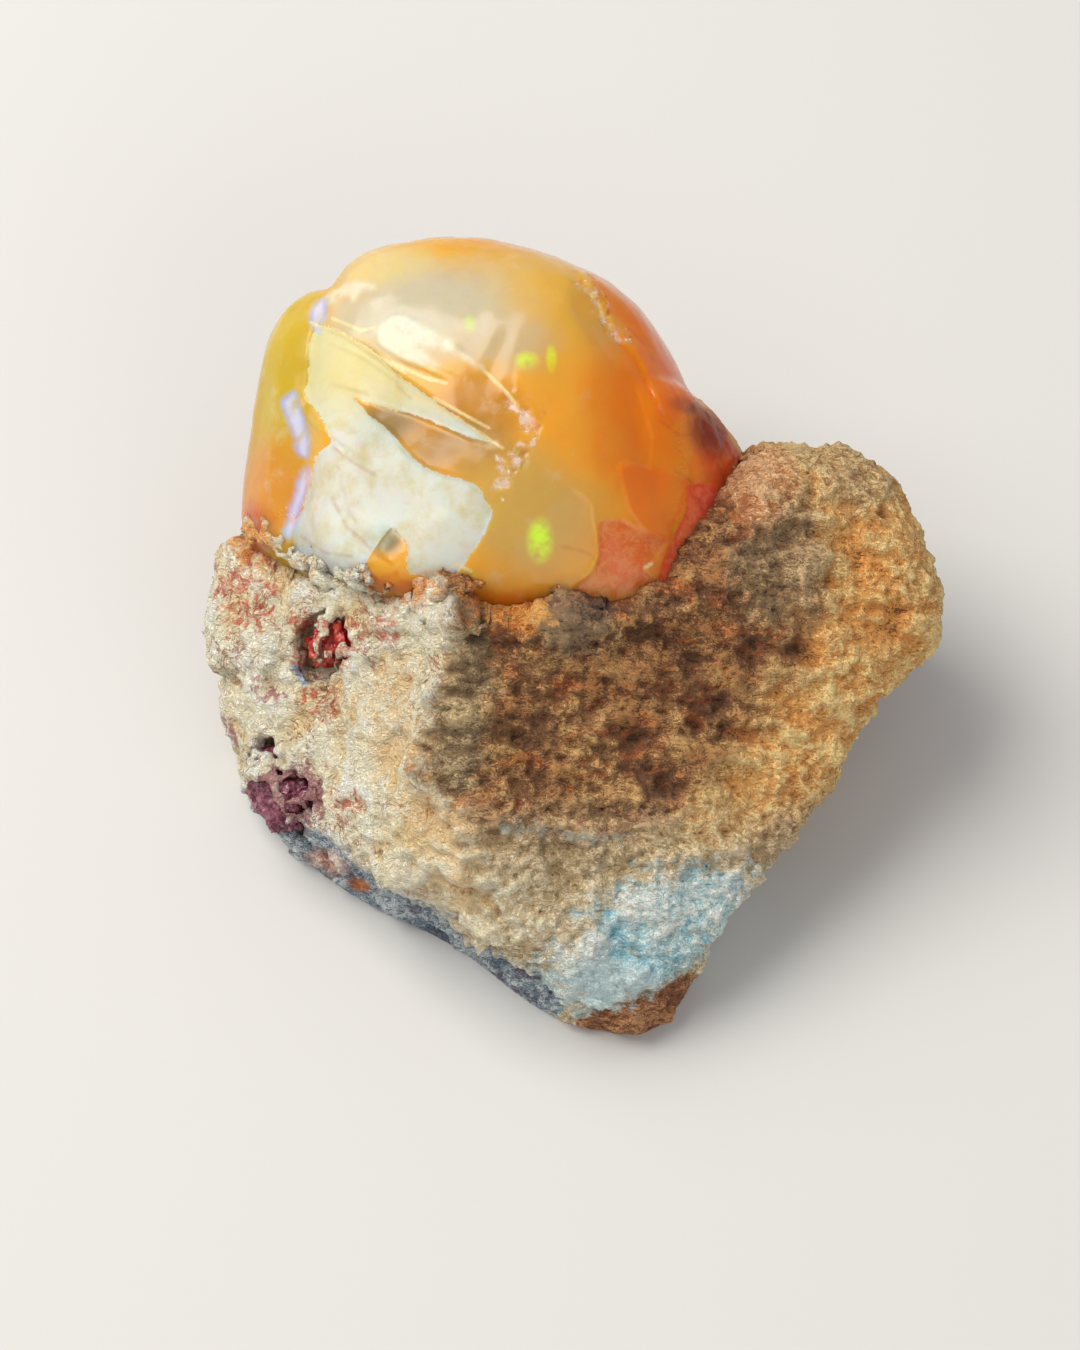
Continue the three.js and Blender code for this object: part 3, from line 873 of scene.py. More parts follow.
undulation = rough_over(points, 4.2, 0.9, 2.0, 3)
lumps = rough_over(points, 1.9, 0.9, 2.2, 3, 7)
crumbs = noise_over(points, 0.8, crinkle, 3)
layered = points * (0.34, 1.0, 0.8) + points[:, [1, 0, 2]] * (0.1, 0.12, 0)
layers = rough_over(layered, 0.85, 0.8, 2.1, 3, 2)
grit = rough_over(points, 0.42, 0.8, 2.0, 2, 13)
folds = noise_over(points, 1.3, fold, 5)
small_folds = noise_over(points, 0.6, fold, 9)

front_relief = 0.3 * lumps + 0.08 * (crumbs - 0.6) + (0.34 - 0.1 * low_front) * layers + 0.24 * grit - 0.03
on_lobe = smooth_step(inside(points, RIGHT_LOBE, -7), -0.5, 1)
front_relief *= (1 - 0.2 * on_blue) * (1 - 0.25 * on_lobe)
dough = 0.13 * folds + 0.05 * small_folds + 0.24 * lumps + 0.1 * grit - 0.06
relief = front_relief * (1 - on_cream) + dough * on_cream
for u, v, width, depth in PITS:
    away = np.hypot(points[:, 0] - u, points[:, 1] - v) * (1 + 0.5 * lumps)
    relief -= 0.65 * depth * np.exp(-((away / width) ** 2)) * (points[:, 2] > -4)
relief += 0.12 * smooth_step(inside(points, GREY_LUMP, 2), -0.2, 0.4)
for number, outline in enumerate(SLABS):
    relief += (0.14 + 0.08 * number) * smooth_step(inside(points, outline, -3) + 0.3 * lumps, -0.05, 0.12)
crests = np.zeros(len(points))
for line, height, left_fade, right_fade in CRESTS:
    crests = np.maximum(crests, crest_along(points, line, height, left_fade, right_fade, 0.5 * lumps))
free = smooth_step(above_base(points), 0.1, 0.8)
behind = smooth_step(points[:, 2], -5, -9)
relief *= 1 + 0.7 * behind
moved = points + normals * ((0.34 * undulation + relief + crests) * free)[:, None]

# The socket closes up on the opal, with the stone a little way into it, so no gap shows. In the
# notch the stone's rim has broken away, and the stained glass shows lower down.
notch = inside(points, NOTCH, 0) + 0.3 * lumps + 0.3 * grit
in_socket = np.maximum(in_socket, smooth_step(notch, -0.06, 0.12) * smooth_step(gap, 1.9, 1.5))
moved += (gripping - moved) * in_socket[:, None]

moved += np.outer(np.maximum(0, -above_base(moved)), BASE_UP)
move_to(rock, moved)

ROCK_ZONES = {
    # name kept on the mesh: outlines, how far behind the show plane they still count
    "cream": ([CREAM_FACE], -8),
    "lobe": ([RIGHT_LOBE], -7),
    "lobe_shade": (LOBE_SHADES, -4),
    "blue": ([BLUE_PATCH], -6),
    "strip": ([LOWER_STRIP, BLUE_LENS], -8),
    "ochre": (OCHRE_PATCHES, -4),
    "pink_end": ([PINK_END], -4),
    "rust": ([RUST_TIP], -5),
    "ridge_shadow": ([RIDGE_SHADOW], 1),
    "grey_lump": ([GREY_LUMP], 2),
    "red": (RED_STAINS, -5),
    "purple": (PURPLE_STAINS, -5),
    "orange_rim": (ORANGE_RIM, -3),
    "streak": ([PALE_STREAK], 0),
    "slab": (SLABS, -3),
}
for zone_name, (outlines, behind) in ROCK_ZONES.items():
    keep_as(rock, zone_name, np.maximum.reduce([inside(points, o, behind) for o in outlines]))
keep_as(rock, "relief", relief)
finish_shape(rock)
print("rock finished:", len(rock.data.polygons), "faces,", int((in_socket > 0.5).sum()), "in the socket")

# %% [markdown]
# ## Two glassy pockets in the cream face
#
# A red seed and a purple one show through holes in the rhyolite. They were one melt with the opal,
# so they get the same treatment on a smaller scale: an even skin, then a lumpy glazed surface.

# %% Two glassy pockets
def glazed_pocket(node, name):
    """A small pocket of opal with a lumpy melted skin, sunk a little into its hole."""
    piece = fine_copy(node, name, POCKET_VOXEL_MM, 6)
    points, normals = points_of(piece)
    lumps = rough_over(points, 0.8, 0.6, 2.0, 4, 1)
    moved = points + normals * (0.26 * lumps - 0.32)[:, None]
    move_to(piece, moved + np.outer(np.maximum(0, -above_base(moved)), BASE_UP))
    finish_shape(piece)
    return piece


red_pocket = glazed_pocket("red_opal_pocket", "red_seed")
purple_pocket = glazed_pocket("purple_opal_pocket", "purple_seed")

# %% [markdown]
# ## Node helpers and shared effects
#
# Every material places its pattern on the show face in millimetres. Two effects come back again and
# again: a stained zone with a ragged edge, and a soft cloud of colour around a point. Each is built
# once as a node group with named sockets.

# %% Node helpers and shared effects
def colour(red, green, blue):
    """A colour written as on a screen, 0 to 255, turned into the linear values that nodes mix."""
    parts = [value / 255 for value in (red, green, blue)]
    linear = [p / 12.92 if p <= 0.04045 else ((p + 0.055) / 1.055) ** 2.4 for p in parts]
    return (*linear, 1)


def fill(node, sockets):
    """Fills a node's sockets by numbers or by links."""
    for socket, value in sockets.items():
        if isinstance(value, bpy.types.NodeSocket):
            node.id_data.links.new(value, node.inputs[socket])
        else:
            node.inputs[socket].default_value = value


def add_node(tree, kind, sockets=None, **settings):
    """A node with its settings made and its sockets filled."""
    made = tree.nodes.new(kind)
    for name, value in settings.items():
        setattr(made, name, value)
    fill(made, sockets or {})
    return made


def math(tree, operation, first, second=0.0, third=0.0, clamp=False):
    sockets = {0: first, 1: second, 2: third}
    return add_node(tree, "ShaderNodeMath", sockets, operation=operation, use_clamp=clamp).outputs[0]


def ramp(tree, value, low, high, to_low=0.0, to_high=1.0):
    """Maps low..high smoothly onto to_low..to_high."""
    sockets = {"Value": value, "From Min": low, "From Max": high, "To Min": to_low, "To Max": to_high}
    made = add_node(tree, "ShaderNodeMapRange", sockets, interpolation_type="SMOOTHSTEP")
    return made.outputs["Result"]


def blend(tree, mask, under, over, how="MIX"):
    """One colour laid over another where mask is 1."""
    sockets = {0: mask, 6: under, 7: over}
    made = add_node(tree, "ShaderNodeMix", sockets, data_type="RGBA", blend_type=how)
    return made.outputs[2]


def times(tree, first, second):
    return math(tree, "MULTIPLY", first, second)


def vector_math(tree, operation, *values):
    sockets = dict(enumerate(values))
    return add_node(tree, "ShaderNodeVectorMath", sockets, operation=operation).outputs["Vector"]


def noise_node(tree, place, frequency, detail, roughness=0.5, bend=0.0):
    """A noise texture: its outputs are Fac, from 0 to 1, and Color, three such numbers."""
    sockets = {
        "Vector": place, "Scale": frequency, "Detail": detail, "Roughness": roughness,
        "Distortion": bend,
    }
    return add_node(tree, "ShaderNodeTexNoise", sockets).outputs


def clouds(tree, place, size_mm, detail=3.0, roughness=0.5, bend=0.0):
    """Noise from 0 to 1 whose lumps are size_mm wide."""
    return noise_node(tree, place, 1 / size_mm, detail, roughness, bend)["Fac"]


def drift(tree, place, frequency, detail):
    """A wandering step away from a place, -0.5 to 0.5 each way."""
    numbers = noise_node(tree, place, frequency, detail)["Color"]
    return vector_math(tree, "SUBTRACT", numbers, (0.5, 0.5, 0.5))


def show_place(tree):
    """The shaded point in show millimetres."""
    object_place = add_node(tree, "ShaderNodeTexCoord").outputs["Object"]
    sockets = {
        "Vector": object_place, "Location": to_show.translation, "Rotation": (-LEAN, 0, 0),
        "Scale": (1 / MM, 1 / MM, 1 / MM),
    }
    return add_node(tree, "ShaderNodeMapping", sockets).outputs["Vector"]


def kept(tree, name):
    """A number stored on the mesh by keep_as."""
    return add_node(tree, "ShaderNodeAttribute", attribute_name=name).outputs["Fac"]


def new_group(name, inputs, output):
    """An empty effect with named sockets. inputs maps a name to its kind and usual value."""
    group = bpy.data.node_groups.new(name, "ShaderNodeTree")
    for socket, (kind, usual) in inputs.items():
        made = group.interface.new_socket(socket, in_out="INPUT", socket_type="NodeSocket" + kind)
        if usual is not None:
            made.default_value = usual
    group.interface.new_socket(output, in_out="OUTPUT", socket_type="NodeSocketFloat")
    return group, group.nodes.new("NodeGroupInput").outputs, group.nodes.new("NodeGroupOutput").inputs


ragged_zone, given, result = new_group(
    "ragged zone",
    {
        "Distance": ("Float", 0.0), "Place": ("Vector", None), "Raggedness": ("Float", 0.3),
        "Grain Size": ("Float", 0.5), "Softness": ("Float", 0.2),
    },
    "Mask",
)
finer = math(ragged_zone, "DIVIDE", 1.0, given["Grain Size"])
edge_noise = noise_node(ragged_zone, given["Place"], finer, 4.0, 0.6)["Fac"]
wander = times(ragged_zone, math(ragged_zone, "SUBTRACT", edge_noise, 0.5), 4.0)
bent = math(ragged_zone, "MULTIPLY_ADD", wander, given["Raggedness"], given["Distance"])
outer_side = times(ragged_zone, given["Softness"], -1.0)
ragged_zone.links.new(ramp(ragged_zone, bent, outer_side, given["Softness"]), result["Mask"])

soft_cloud, given, result = new_group(
    "soft cloud",
    {
        "Place": ("Vector", None), "Centre": ("Vector", (0, 0, 0)), "Radius": ("Float", 3.0),
        "Stretch": ("Vector", (1, 1, 1)),
    },
    "Mask",
)
from_centre = vector_math(soft_cloud, "SUBTRACT", given["Place"], given["Centre"])
squeezed = vector_math(soft_cloud, "DIVIDE", from_centre, given["Stretch"])
away = add_node(soft_cloud, "ShaderNodeVectorMath", {0: squeezed}, operation="LENGTH").outputs["Value"]
share = math(soft_cloud, "DIVIDE", away, given["Radius"])
soft_cloud.links.new(ramp(soft_cloud, share, 1.35, 0.45), result["Mask"])


def effect(tree, group, sockets):
    """What a shared effect gives for these sockets."""
    return add_node(tree, "ShaderNodeGroup", sockets, node_tree=group).outputs[0]


def zone(tree, place, name, raggedness, grain, softness, strength=1.0):
    """The mask of an outline kept on the mesh, with a ragged edge."""
    sockets = {
        "Distance": kept(tree, name), "Place": place, "Raggedness": raggedness,
        "Grain Size": grain, "Softness": softness,
    }
    return times(tree, effect(tree, ragged_zone, sockets), strength)


def cloud(tree, place, centre, radius, stretch=(1, 1, 1), strength=1.0):
    """The mask of a soft cloud around a point of the show face."""
    sockets = {"Place": place, "Centre": centre, "Radius": radius, "Stretch": stretch}
    return times(tree, effect(tree, soft_cloud, sockets), strength)


def new_finish(name):
    """A material, its node tree and its Principled shader."""
    finish = bpy.data.materials.new(name)
    finish.use_nodes = True
    return finish, finish.node_tree, finish.node_tree.nodes["Principled BSDF"]


def dress(piece, finish):
    """Gives a piece one material."""
    piece.data.materials.clear()
    piece.data.materials.append(finish)


def absorb(tree, tint, density):
    """Colours the light that passes through a piece by how deep it goes."""
    absorbing = add_node(tree, "ShaderNodeVolumeAbsorption", {"Color": tint, "Density": density})
    tree.links.new(absorbing.outputs["Volume"], tree.nodes["Material Output"].inputs["Volume"])


def bump(tree, height, strength, depth_m):
    sockets = {"Height": height, "Strength": strength, "Distance": depth_m}
    return add_node(tree, "ShaderNodeBump", sockets).outputs["Normal"]


print("shared effects:", [g.name for g in bpy.data.node_groups])

# %% [markdown]
# ## Fire opal
#
# Fire opal is a coloured glass with clouds in it. Half of the light goes straight through and is
# coloured by depth, which is plain transmission, index and absorption. The rest is scattered just
# under the skin, so the shader's subsurface carries the clouds: gold on the left, straw at the crown,
# hot orange on the right, and wine red in the skirt.

# %% Opal clouds
OPAL_CLOUDS = [
    # colour, centre, radius, stretch, strength
    ((214, 190, 52), (-13.6, 12, -2), 4.2, (1, 1.5, 1.4), 1.0),
    ((224, 158, 64), (-14, 6.6, -2), 3.0, (1, 1, 1.4), 0.85),
    ((230, 192, 84), (-5.5, 14.4, 3.5), 4.4, (1.9, 1, 1.2), 0.9),
    ((214, 210, 190), (-7.2, 14.6, 3.5), 2.7, (1.8, 0.9, 1.2), 0.9),
    ((208, 204, 188), (-3.4, 12.9, 5.5), 1.6, (1.5, 1, 1.2), 0.6),
    ((240, 176, 52), (-1.6, 17.8, 0), 2.4, (2.2, 0.5, 1.4), 0.85),
    ((234, 222, 160), (-8.6, 16.4, 1), 1.5, (1.7, 0.8, 2), 0.7),
    ((255, 196, 62), (0.8, 14.8, 4), 1.0, (0.9, 1.2, 2), 0.8),
    ((208, 154, 56), (-5.2, 9.7, 6), 2.2, (1.5, 0.7, 1), 0.85),
    ((150, 128, 78), (-8.6, 9.2, 5), 1.3, (1.3, 0.8, 3), 0.85),
    ((190, 152, 84), (-5.2, 7.9, 5), 1.9, (1.5, 0.7, 2), 0.9),
    ((255, 150, 0), (3.0, 9.8, 3.6), 3.0, (0.8, 1.5, 1.4), 1.0),
    ((255, 148, 0), (3.4, 14.4, 0), 3.0, (0.9, 0.9, 1.2), 0.95),
    ((216, 188, 106), (-2.2, 5.2, 6), 3.0, (1.1, 0.9, 1), 0.85),
    ((255, 104, 0), (4.6, 11.6, 0), 2.0, (0.8, 1.2, 1.3), 0.85),
    ((232, 78, 24), (6.4, 6.6, 0), 2.6, (0.8, 1.5, 1.4), 0.95),
    ((118, 40, 24), (5.8, 9.2, 0), 1.4, (0.8, 1, 2.4), 0.8),
    ((100, 72, 62), (4.7, 10.2, 2), 0.7, (1.3, 0.6, 3), 0.8),
    ((240, 176, 70), (-0.5, 1.6, 4), 2.2, (2.2, 0.6, 1.2), 0.8),
    ((236, 140, 60), (2.4, 3.6, 4), 1.8, (1.1, 0.9, 1.4), 0.8),
    ((236, 150, 50), (-8.2, 1.8, 4), 1.5, (2.6, 0.7, 1.4), 0.8),
    ((140, 138, 104), (-8.4, 4.2, 4), 0.8, (1, 1, 5), 0.9),
    ((210, 92, 70), (-15, 4.6, -1), 1.5, (1, 1, 1.6), 0.85),
    ((236, 110, 10), (-3.2, 0.9, 4), 1.4, (1.6, 0.8, 2), 0.85),
]
opal_clouds = bpy.data.node_groups.new("opal clouds", "ShaderNodeTree")
opal_clouds.interface.new_socket("Place", in_out="INPUT", socket_type="NodeSocketVector")
opal_clouds.interface.new_socket("Color", in_out="OUTPUT", socket_type="NodeSocketColor")
place = opal_clouds.nodes.new("NodeGroupInput").outputs["Place"]
CLOUD_DRIFT_MM = (4, 4, 4)
wander = drift(opal_clouds, place, 0.3, 3.0)
cloudy_place = vector_math(opal_clouds, "MULTIPLY_ADD", wander, CLOUD_DRIFT_MM, place)
paint = colour(246, 186, 60)
for tint, centre, radius, stretch, strength in OPAL_CLOUDS:
    mask = cloud(opal_clouds, cloudy_place if radius > 1.5 else place, centre, radius, stretch, strength)
    paint = blend(opal_clouds, mask, paint, colour(*tint))
behind = add_node(opal_clouds, "ShaderNodeSeparateXYZ", {0: place}).outputs["Z"]
paint = blend(opal_clouds, ramp(opal_clouds, behind, -1, -6, 0, 0.6), paint, colour(246, 150, 40))
opal_clouds.links.new(paint, opal_clouds.nodes.new("NodeGroupOutput").inputs["Color"])


def opal_colour(tree, place):
    """The colour of the clouds in the opal at a place on the show face."""
    return effect(tree, opal_clouds, {"Place": place})


print(len(OPAL_CLOUDS), "clouds of colour")

# %% [markdown]
# ## Paint on the opal's break faces
#
# Over the clouds come the marks of the break, each with the outline that shaped it: the pale
# facet, the blades, the plates, the cracks and the thin bright edges where light gets in. The pale
# facet is a cream skin with a painted glare, the blades' whiteness is a painted highlight, and
# the bright edges are painted light.

# %% Paint on the break faces
def stain(tree, place, paint, over, *edge):
    """Paint with a zone of another colour laid over it. edge says what zone needs."""
    return blend(tree, zone(tree, place, *edge), paint, over)


opal_finish, tree, shader = new_finish("fire opal")
place = show_place(tree)
across, up, out = add_node(tree, "ShaderNodeSeparateXYZ", {0: place}).outputs
milk = ramp(tree, clouds(tree, place, 1.6, 5.0, 0.6), 0.55, 0.75)
milk = times(tree, milk, ramp(tree, across, 2, -2, 0, 0.35))
milk = times(tree, milk, ramp(tree, out, -3, 0))
paint = blend(tree, milk, opal_colour(tree, place), colour(236, 232, 206))

# The pale facet is a cream skin on the break that also carries a painted glare.
pale_mask = zone(tree, place, "pale", 0.08, 0.6, 0.07)
mottle = ramp(tree, clouds(tree, place, 1.5, 6.0, 0.7), 0.42, 0.7)
pale_paint = blend(tree, mottle, colour(226, 240, 236), colour(212, 214, 178))
pale_paint = blend(tree, ramp(tree, up, 8, 12, 0, 0.8), pale_paint, colour(240, 236, 168))
paint = blend(tree, pale_mask, paint, pale_paint)
# The whitish blades are painted highlights on the blade steps.
streaks = ramp(tree, clouds(tree, place, 0.9, 4.0, 0.6), 0.3, 0.55, 0.45, 1)
blade_highlight_mask = times(tree, zone(tree, place, "blade", 0.1, 0.5, 0.26, 0.85), streaks)
paint = blend(tree, blade_highlight_mask, paint, colour(238, 244, 226))
paint = stain(tree, place, paint, colour(222, 116, 22), "rim", 0.5, 0.7, 0.4, 0.75)
paint = stain(tree, place, paint, colour(255, 128, 10), "right_facet", 0.12, 0.9, 0.16, 0.5)

crackle = ramp(tree, clouds(tree, place, 0.5, 5.0, 0.7, 1.0), 0.4, 0.62)
red_mask = zone(tree, place, "red_plate", 0.12, 0.5, 0.15)
red_paint = blend(tree, crackle, colour(214, 84, 74), colour(248, 130, 104))
paint = blend(tree, times(tree, red_mask, 0.8), paint, red_paint)
paint = stain(tree, place, paint, colour(255, 118, 14), "upper_plate", 0.1, 0.5, 0.12, 0.5)
plate_paint = blend(tree, crackle, colour(232, 104, 40), colour(246, 160, 104))
paint = stain(tree, place, paint, plate_paint, "lower_plate", 0.1, 0.5, 0.15, 0.65)
paint = stain(tree, place, paint, colour(255, 96, 30), "plate_edges", 0.12, 0.5, 0.12, 0.5)
# Near-white spots on the chips: partly the crushed glass's own whiteness, partly painted highlights.
chip_mask = times(tree, kept(tree, "chips"), ramp(tree, clouds(tree, place, 0.45, 3.0), 0.4, 0.6))
paint = blend(tree, times(tree, chip_mask, 0.85), paint, colour(255, 240, 232))
print("break faces painted with", len(tree.nodes), "nodes")

# %% [markdown]
# ## Flashes and sheen
#
# Precious opal throws green flashes, and here the left edge has a bluish sheen. On the real stone
# they move with the eye. These stay put: they are painted, with a little light of their own, so
# that they look the same in every program.

# %% Flashes and sheen
GREEN_FLASHES = [
    # centre, radius, stretch, strength
    ((-1.7, 4.0, 6.2), 0.8, (0.7, 1.15, 1), 1.0),
    ((-2.3, 11.9, 6.1), 0.55, (1.1, 0.8, 1), 0.8),
    ((-1.2, 12.1, 6.0), 0.55, (0.5, 1.3, 1), 0.9),
    ((-4.8, 13.7, 5.2), 0.45, (0.7, 1.2, 1), 0.45),
]
flash = 0.0
for centre, radius, stretch, strength in GREEN_FLASHES:
    flash = math(tree, "MAXIMUM", cloud(tree, place, centre, radius, stretch, strength), flash)
flash = times(tree, flash, ramp(tree, clouds(tree, place, 0.7, 3.0), 0.2, 0.62))
paint = blend(tree, times(tree, flash, 0.8), paint, colour(196, 226, 30))
paint = stain(tree, place, paint, colour(170, 96, 44), "cracks", 0.06, 0.5, 0.1, 0.35)

sheen_core = ramp(tree, kept(tree, "schiller"), 0.02, 0.3)
sheen_paint = blend(tree, ramp(tree, up, 4, 5.4), colour(150, 226, 214), colour(160, 182, 250))
sheen_paint = blend(tree, sheen_core, sheen_paint, colour(210, 222, 255))
sheen_patches = ramp(tree, clouds(tree, place, 0.9, 3.0), 0.3, 0.6, 0.4, 1)
sheen = times(tree, zone(tree, place, "schiller", 0.1, 0.5, 0.22), sheen_patches)
paint = blend(tree, times(tree, sheen, 0.85), paint, sheen_paint)
paint = stain(tree, place, paint, colour(255, 244, 190), "glint", 0.03, 0.8, 0.05, 0.8)

rind = kept(tree, "rind")
clay_patches = ramp(tree, clouds(tree, place, 0.4, 4.0), 0.4, 0.6)
clay = blend(tree, clay_patches, colour(150, 104, 64), colour(206, 168, 118))
paint = blend(tree, rind, paint, clay)
glow = blend(tree, flash, (0, 0, 0, 1), colour(150, 235, 10))
glow = blend(tree, times(tree, sheen, 0.5), glow, colour(166, 190, 240))
# The red plate gets a faint painted glow of its own, for light held in the glass.
glow = blend(tree, times(tree, red_mask, 0.3), glow, colour(230, 66, 30))
print(len(GREEN_FLASHES), "green flashes")

# %% [markdown]
# ## The opal's skin and depth
#
# Fresh breaks are glossy, and the pale facet, the chips, the coarse glass and the clay are duller.
# Half of the light goes through and is coloured by depth, and the other half is scattered in the
# clouds just under the skin.

# %% The opal's skin and depth
OPAL_IOR = 1.45
SKIN_DEPTH_M = 0.0013
wear = clouds(tree, place, 0.5, 4.0, 0.6)
roughness = ramp(tree, wear, 0.3, 0.8, 0.14, 0.26)
duller = ((pale_mask, 0.2), (rind, 0.5), (kept(tree, "coarse"), 0.3), (chip_mask, 0.12))
for mask, by in duller:
    roughness = math(tree, "MULTIPLY_ADD", mask, by, roughness)
fill(shader, {
    "Base Color": paint, "Emission Color": glow, "Emission Strength": 0.45,
    "Roughness": roughness, "Normal": bump(tree, wear, 0.12, 0.00008), "IOR": OPAL_IOR,
    "Transmission Weight": 0.5, "Specular IOR Level": 0.18, "Subsurface Weight": 1.0,
    "Subsurface Radius": (1.0, 0.62, 0.25), "Subsurface Scale": SKIN_DEPTH_M,
})
absorb(tree, (0.99, 0.7, 0.2, 1), 120.0)
dress(opal, opal_finish)
print("fire opal has", len(tree.nodes), "nodes")

# %% [markdown]
# ## The cloud that hangs in the glass
#
# Nobody can look right through this opal: a millimetre down it turns milky. So a cloud is sealed in
# it, a smaller copy of the nodule that carries the same colours. A volume of fog would look the same
# but takes many times longer to render, and few programs that read the finished model know it.

# %% The cloud in the glass
CLOUD_DEPTH_MM = 1.1


def sealed_copy(piece, name, depth_mm, share):
    """A thinned copy of a piece, moved inwards from its skin."""
    copy = as_object(name, piece.data.copy())
    fewer = copy.modifiers.new("fewer", "DECIMATE")
    fewer.ratio = share
    soften = copy.modifiers.new("soften", "SMOOTH")
    soften.iterations = 12
    baked(copy)
    points, normals = points_of(copy)
    move_to(copy, points - normals * depth_mm * MM)
    copy.data.polygons.foreach_set("use_smooth", [True] * len(copy.data.polygons))
    return copy


milky_cloud = sealed_copy(opal, "milky_cloud", CLOUD_DEPTH_MM, 0.16)
cloud_finish, tree, shader = new_finish("milky cloud")
fill(shader, {
    "Base Color": opal_colour(tree, show_place(tree)), "Roughness": 0.9, "Specular IOR Level": 0.0,
    "Subsurface Weight": 0.6, "Subsurface Radius": (1.0, 0.6, 0.3), "Subsurface Scale": 0.001,
})
dress(milky_cloud, cloud_finish)
print("milky cloud:", len(milky_cloud.data.polygons), "faces,", CLOUD_DEPTH_MM, "mm under the skin")

# %% [markdown]
# ## Crumbly ground
#
# Broken stone has crooked crests with hollows between them. Folding a noise about its middle gives
# such crests, and bending its place first makes them crooked. Every tone of the rock then follows
# one height: dark in the hollows, pale on the crests. That darkening is painted shade and the paling
# is painted light, laid over the stone's own grain.

# %% Crumbly ground
crumbly, given, result = new_group(
    "crumbly ground",
    {"Place": ("Vector", None), "Size": ("Float", 0.5), "Crookedness": ("Float", 0.4)},
    "Height",
)
frequency = math(crumbly, "DIVIDE", 1.0, given["Size"])
reach = times(crumbly, given["Size"], given["Crookedness"])
bend = add_node(
    crumbly, "ShaderNodeVectorMath", {0: drift(crumbly, given["Place"], frequency, 1.0), "Scale": reach},
    operation="SCALE",
).outputs["Vector"]
bent_place = vector_math(crumbly, "ADD", given["Place"], bend)
waves = noise_node(crumbly, bent_place, frequency, 3.0, 0.62)["Fac"]
crest = math(crumbly, "ABSOLUTE", math(crumbly, "SUBTRACT", waves, 0.5))
crumbly.links.new(ramp(crumbly, crest, 0.2, 0.0), result["Height"])


def crumbly_height(tree, place, size_mm, crookedness=4.0):
    """Crooked crests, 1 on top and 0 in the hollows between them."""
    return effect(tree, crumbly, {"Place": place, "Size": size_mm, "Crookedness": crookedness})


def three_tones(tree, height, hollow, body, crest):
    """Stone that is dark in its hollows, plain on its body and pale on its crests: painted shade and
    painted light.
    """
    tone = blend(tree, ramp(tree, height, 0.05, 0.45), colour(*hollow), colour(*body))
    return blend(tree, ramp(tree, height, 0.6, 0.95), tone, colour(*crest))


def add_up(tree, total, parts):
    """A total with each part added, as much of it as its weight says."""
    for part, weight in parts:
        total = math(tree, "MULTIPLY_ADD", part, weight, total)
    return total


print("crumbly ground has", len(crumbly.nodes), "nodes")

# %% [markdown]
# ## Tones of the stone
#
# Each kind of stone has three tones. Gritty ones follow the crumbs, and doughy ones follow the
# folds of the cream face. Keeping them in tables lets one loop build them all.

# %% Tones of the stone
GRITTY_TONES = {
    # stone: its hollows, its body, its crests
    "brown": ((92, 58, 36), (126, 82, 50), (196, 138, 80)),
    "tan": ((98, 68, 42), (162, 114, 68), (230, 180, 112)),
    "russet": ((106, 54, 30), (164, 86, 40), (222, 140, 70)),
    "lobe": ((138, 78, 34), (244, 168, 84), (255, 222, 150)),
    "lobe_shade": ((112, 90, 62), (168, 140, 98), (222, 194, 146)),
    "pink_end": ((178, 94, 54), (222, 142, 86), (248, 202, 150)),
    "pale_back": ((120, 96, 70), (206, 188, 148), (244, 234, 204)),
    "low_front": ((124, 98, 66), (226, 196, 144), (255, 240, 200)),
    # painted shadow beside the crest
    "ridge_shadow": ((96, 84, 62), (156, 136, 98), (216, 196, 150)),
    "blue": ((116, 152, 160), (200, 238, 240), (255, 255, 244)),
    "deep_blue": ((84, 154, 180), (158, 228, 244), (236, 255, 252)),
    "rust": ((76, 44, 30), (150, 90, 54), (214, 156, 104)),
    "strip": ((58, 60, 78), (128, 150, 166), (216, 222, 222)),
    "grey_lump": ((76, 60, 50), (112, 92, 74), (152, 128, 98)),
    "orange_rim": ((166, 76, 20), (228, 122, 26), (255, 186, 96)),
}
DOUGHY_TONES = {
    "cream": ((216, 182, 130), (252, 242, 208), (255, 254, 240)),
    "yellow_cream": ((200, 140, 80), (250, 222, 166), (255, 248, 212)),
    "ochre": ((222, 146, 84), (252, 214, 154), (255, 246, 212)),
    "flesh": ((150, 84, 76), (222, 164, 140), (250, 226, 204)),
    "slab": ((160, 106, 60), (238, 208, 158), (255, 242, 206)),
    "red": ((166, 52, 38), (216, 116, 84), (246, 212, 184)),
    "purple": ((104, 48, 60), (184, 120, 122), (248, 226, 212)),
}
rock_finish, tree, shader = new_finish("rhyolite")
place = show_place(tree)
_, up, out = add_node(tree, "ShaderNodeSeparateXYZ", {0: place}).outputs
slanted_place = add_node(
    tree, "ShaderNodeMapping", {"Vector": place, "Rotation": (0, 0, 0.12), "Scale": (0.5, 1, 0.8)}
).outputs["Vector"]
relief_here = kept(tree, "relief")
crests = crumbly_height(tree, slanted_place, 0.42)
small_crests = crumbly_height(tree, place, 0.2)
height = add_up(tree, 0.1, [(crests, 0.5), (small_crests, 0.34), (relief_here, 0.9)])
fold_crests = crumbly_height(tree, place, 0.6, 2.0)
folds = add_up(tree, 0.16, [(fold_crests, 0.4), (small_crests, 0.2), (relief_here, 1.2)])
stone = {name: three_tones(tree, height, *tones) for name, tones in GRITTY_TONES.items()}
stone |= {name: three_tones(tree, folds, *tones) for name, tones in DOUGHY_TONES.items()}
print(len(stone), "kinds of stone")

# %% [markdown]
# ## Cream, blue and the strip
#
# Three zones are mixtures: the cream face has yellow clouds and thin red veins, the blue patch is
# deeper in places and has bits of tan in it, and the dark strip carries plum and flesh spots.

# %% Cream, blue and the strip
def dab(tree, place, paint, over, *where):
    """Paint with a soft cloud of another colour on it. where says what cloud needs."""
    return blend(tree, cloud(tree, place, *where), paint, over)


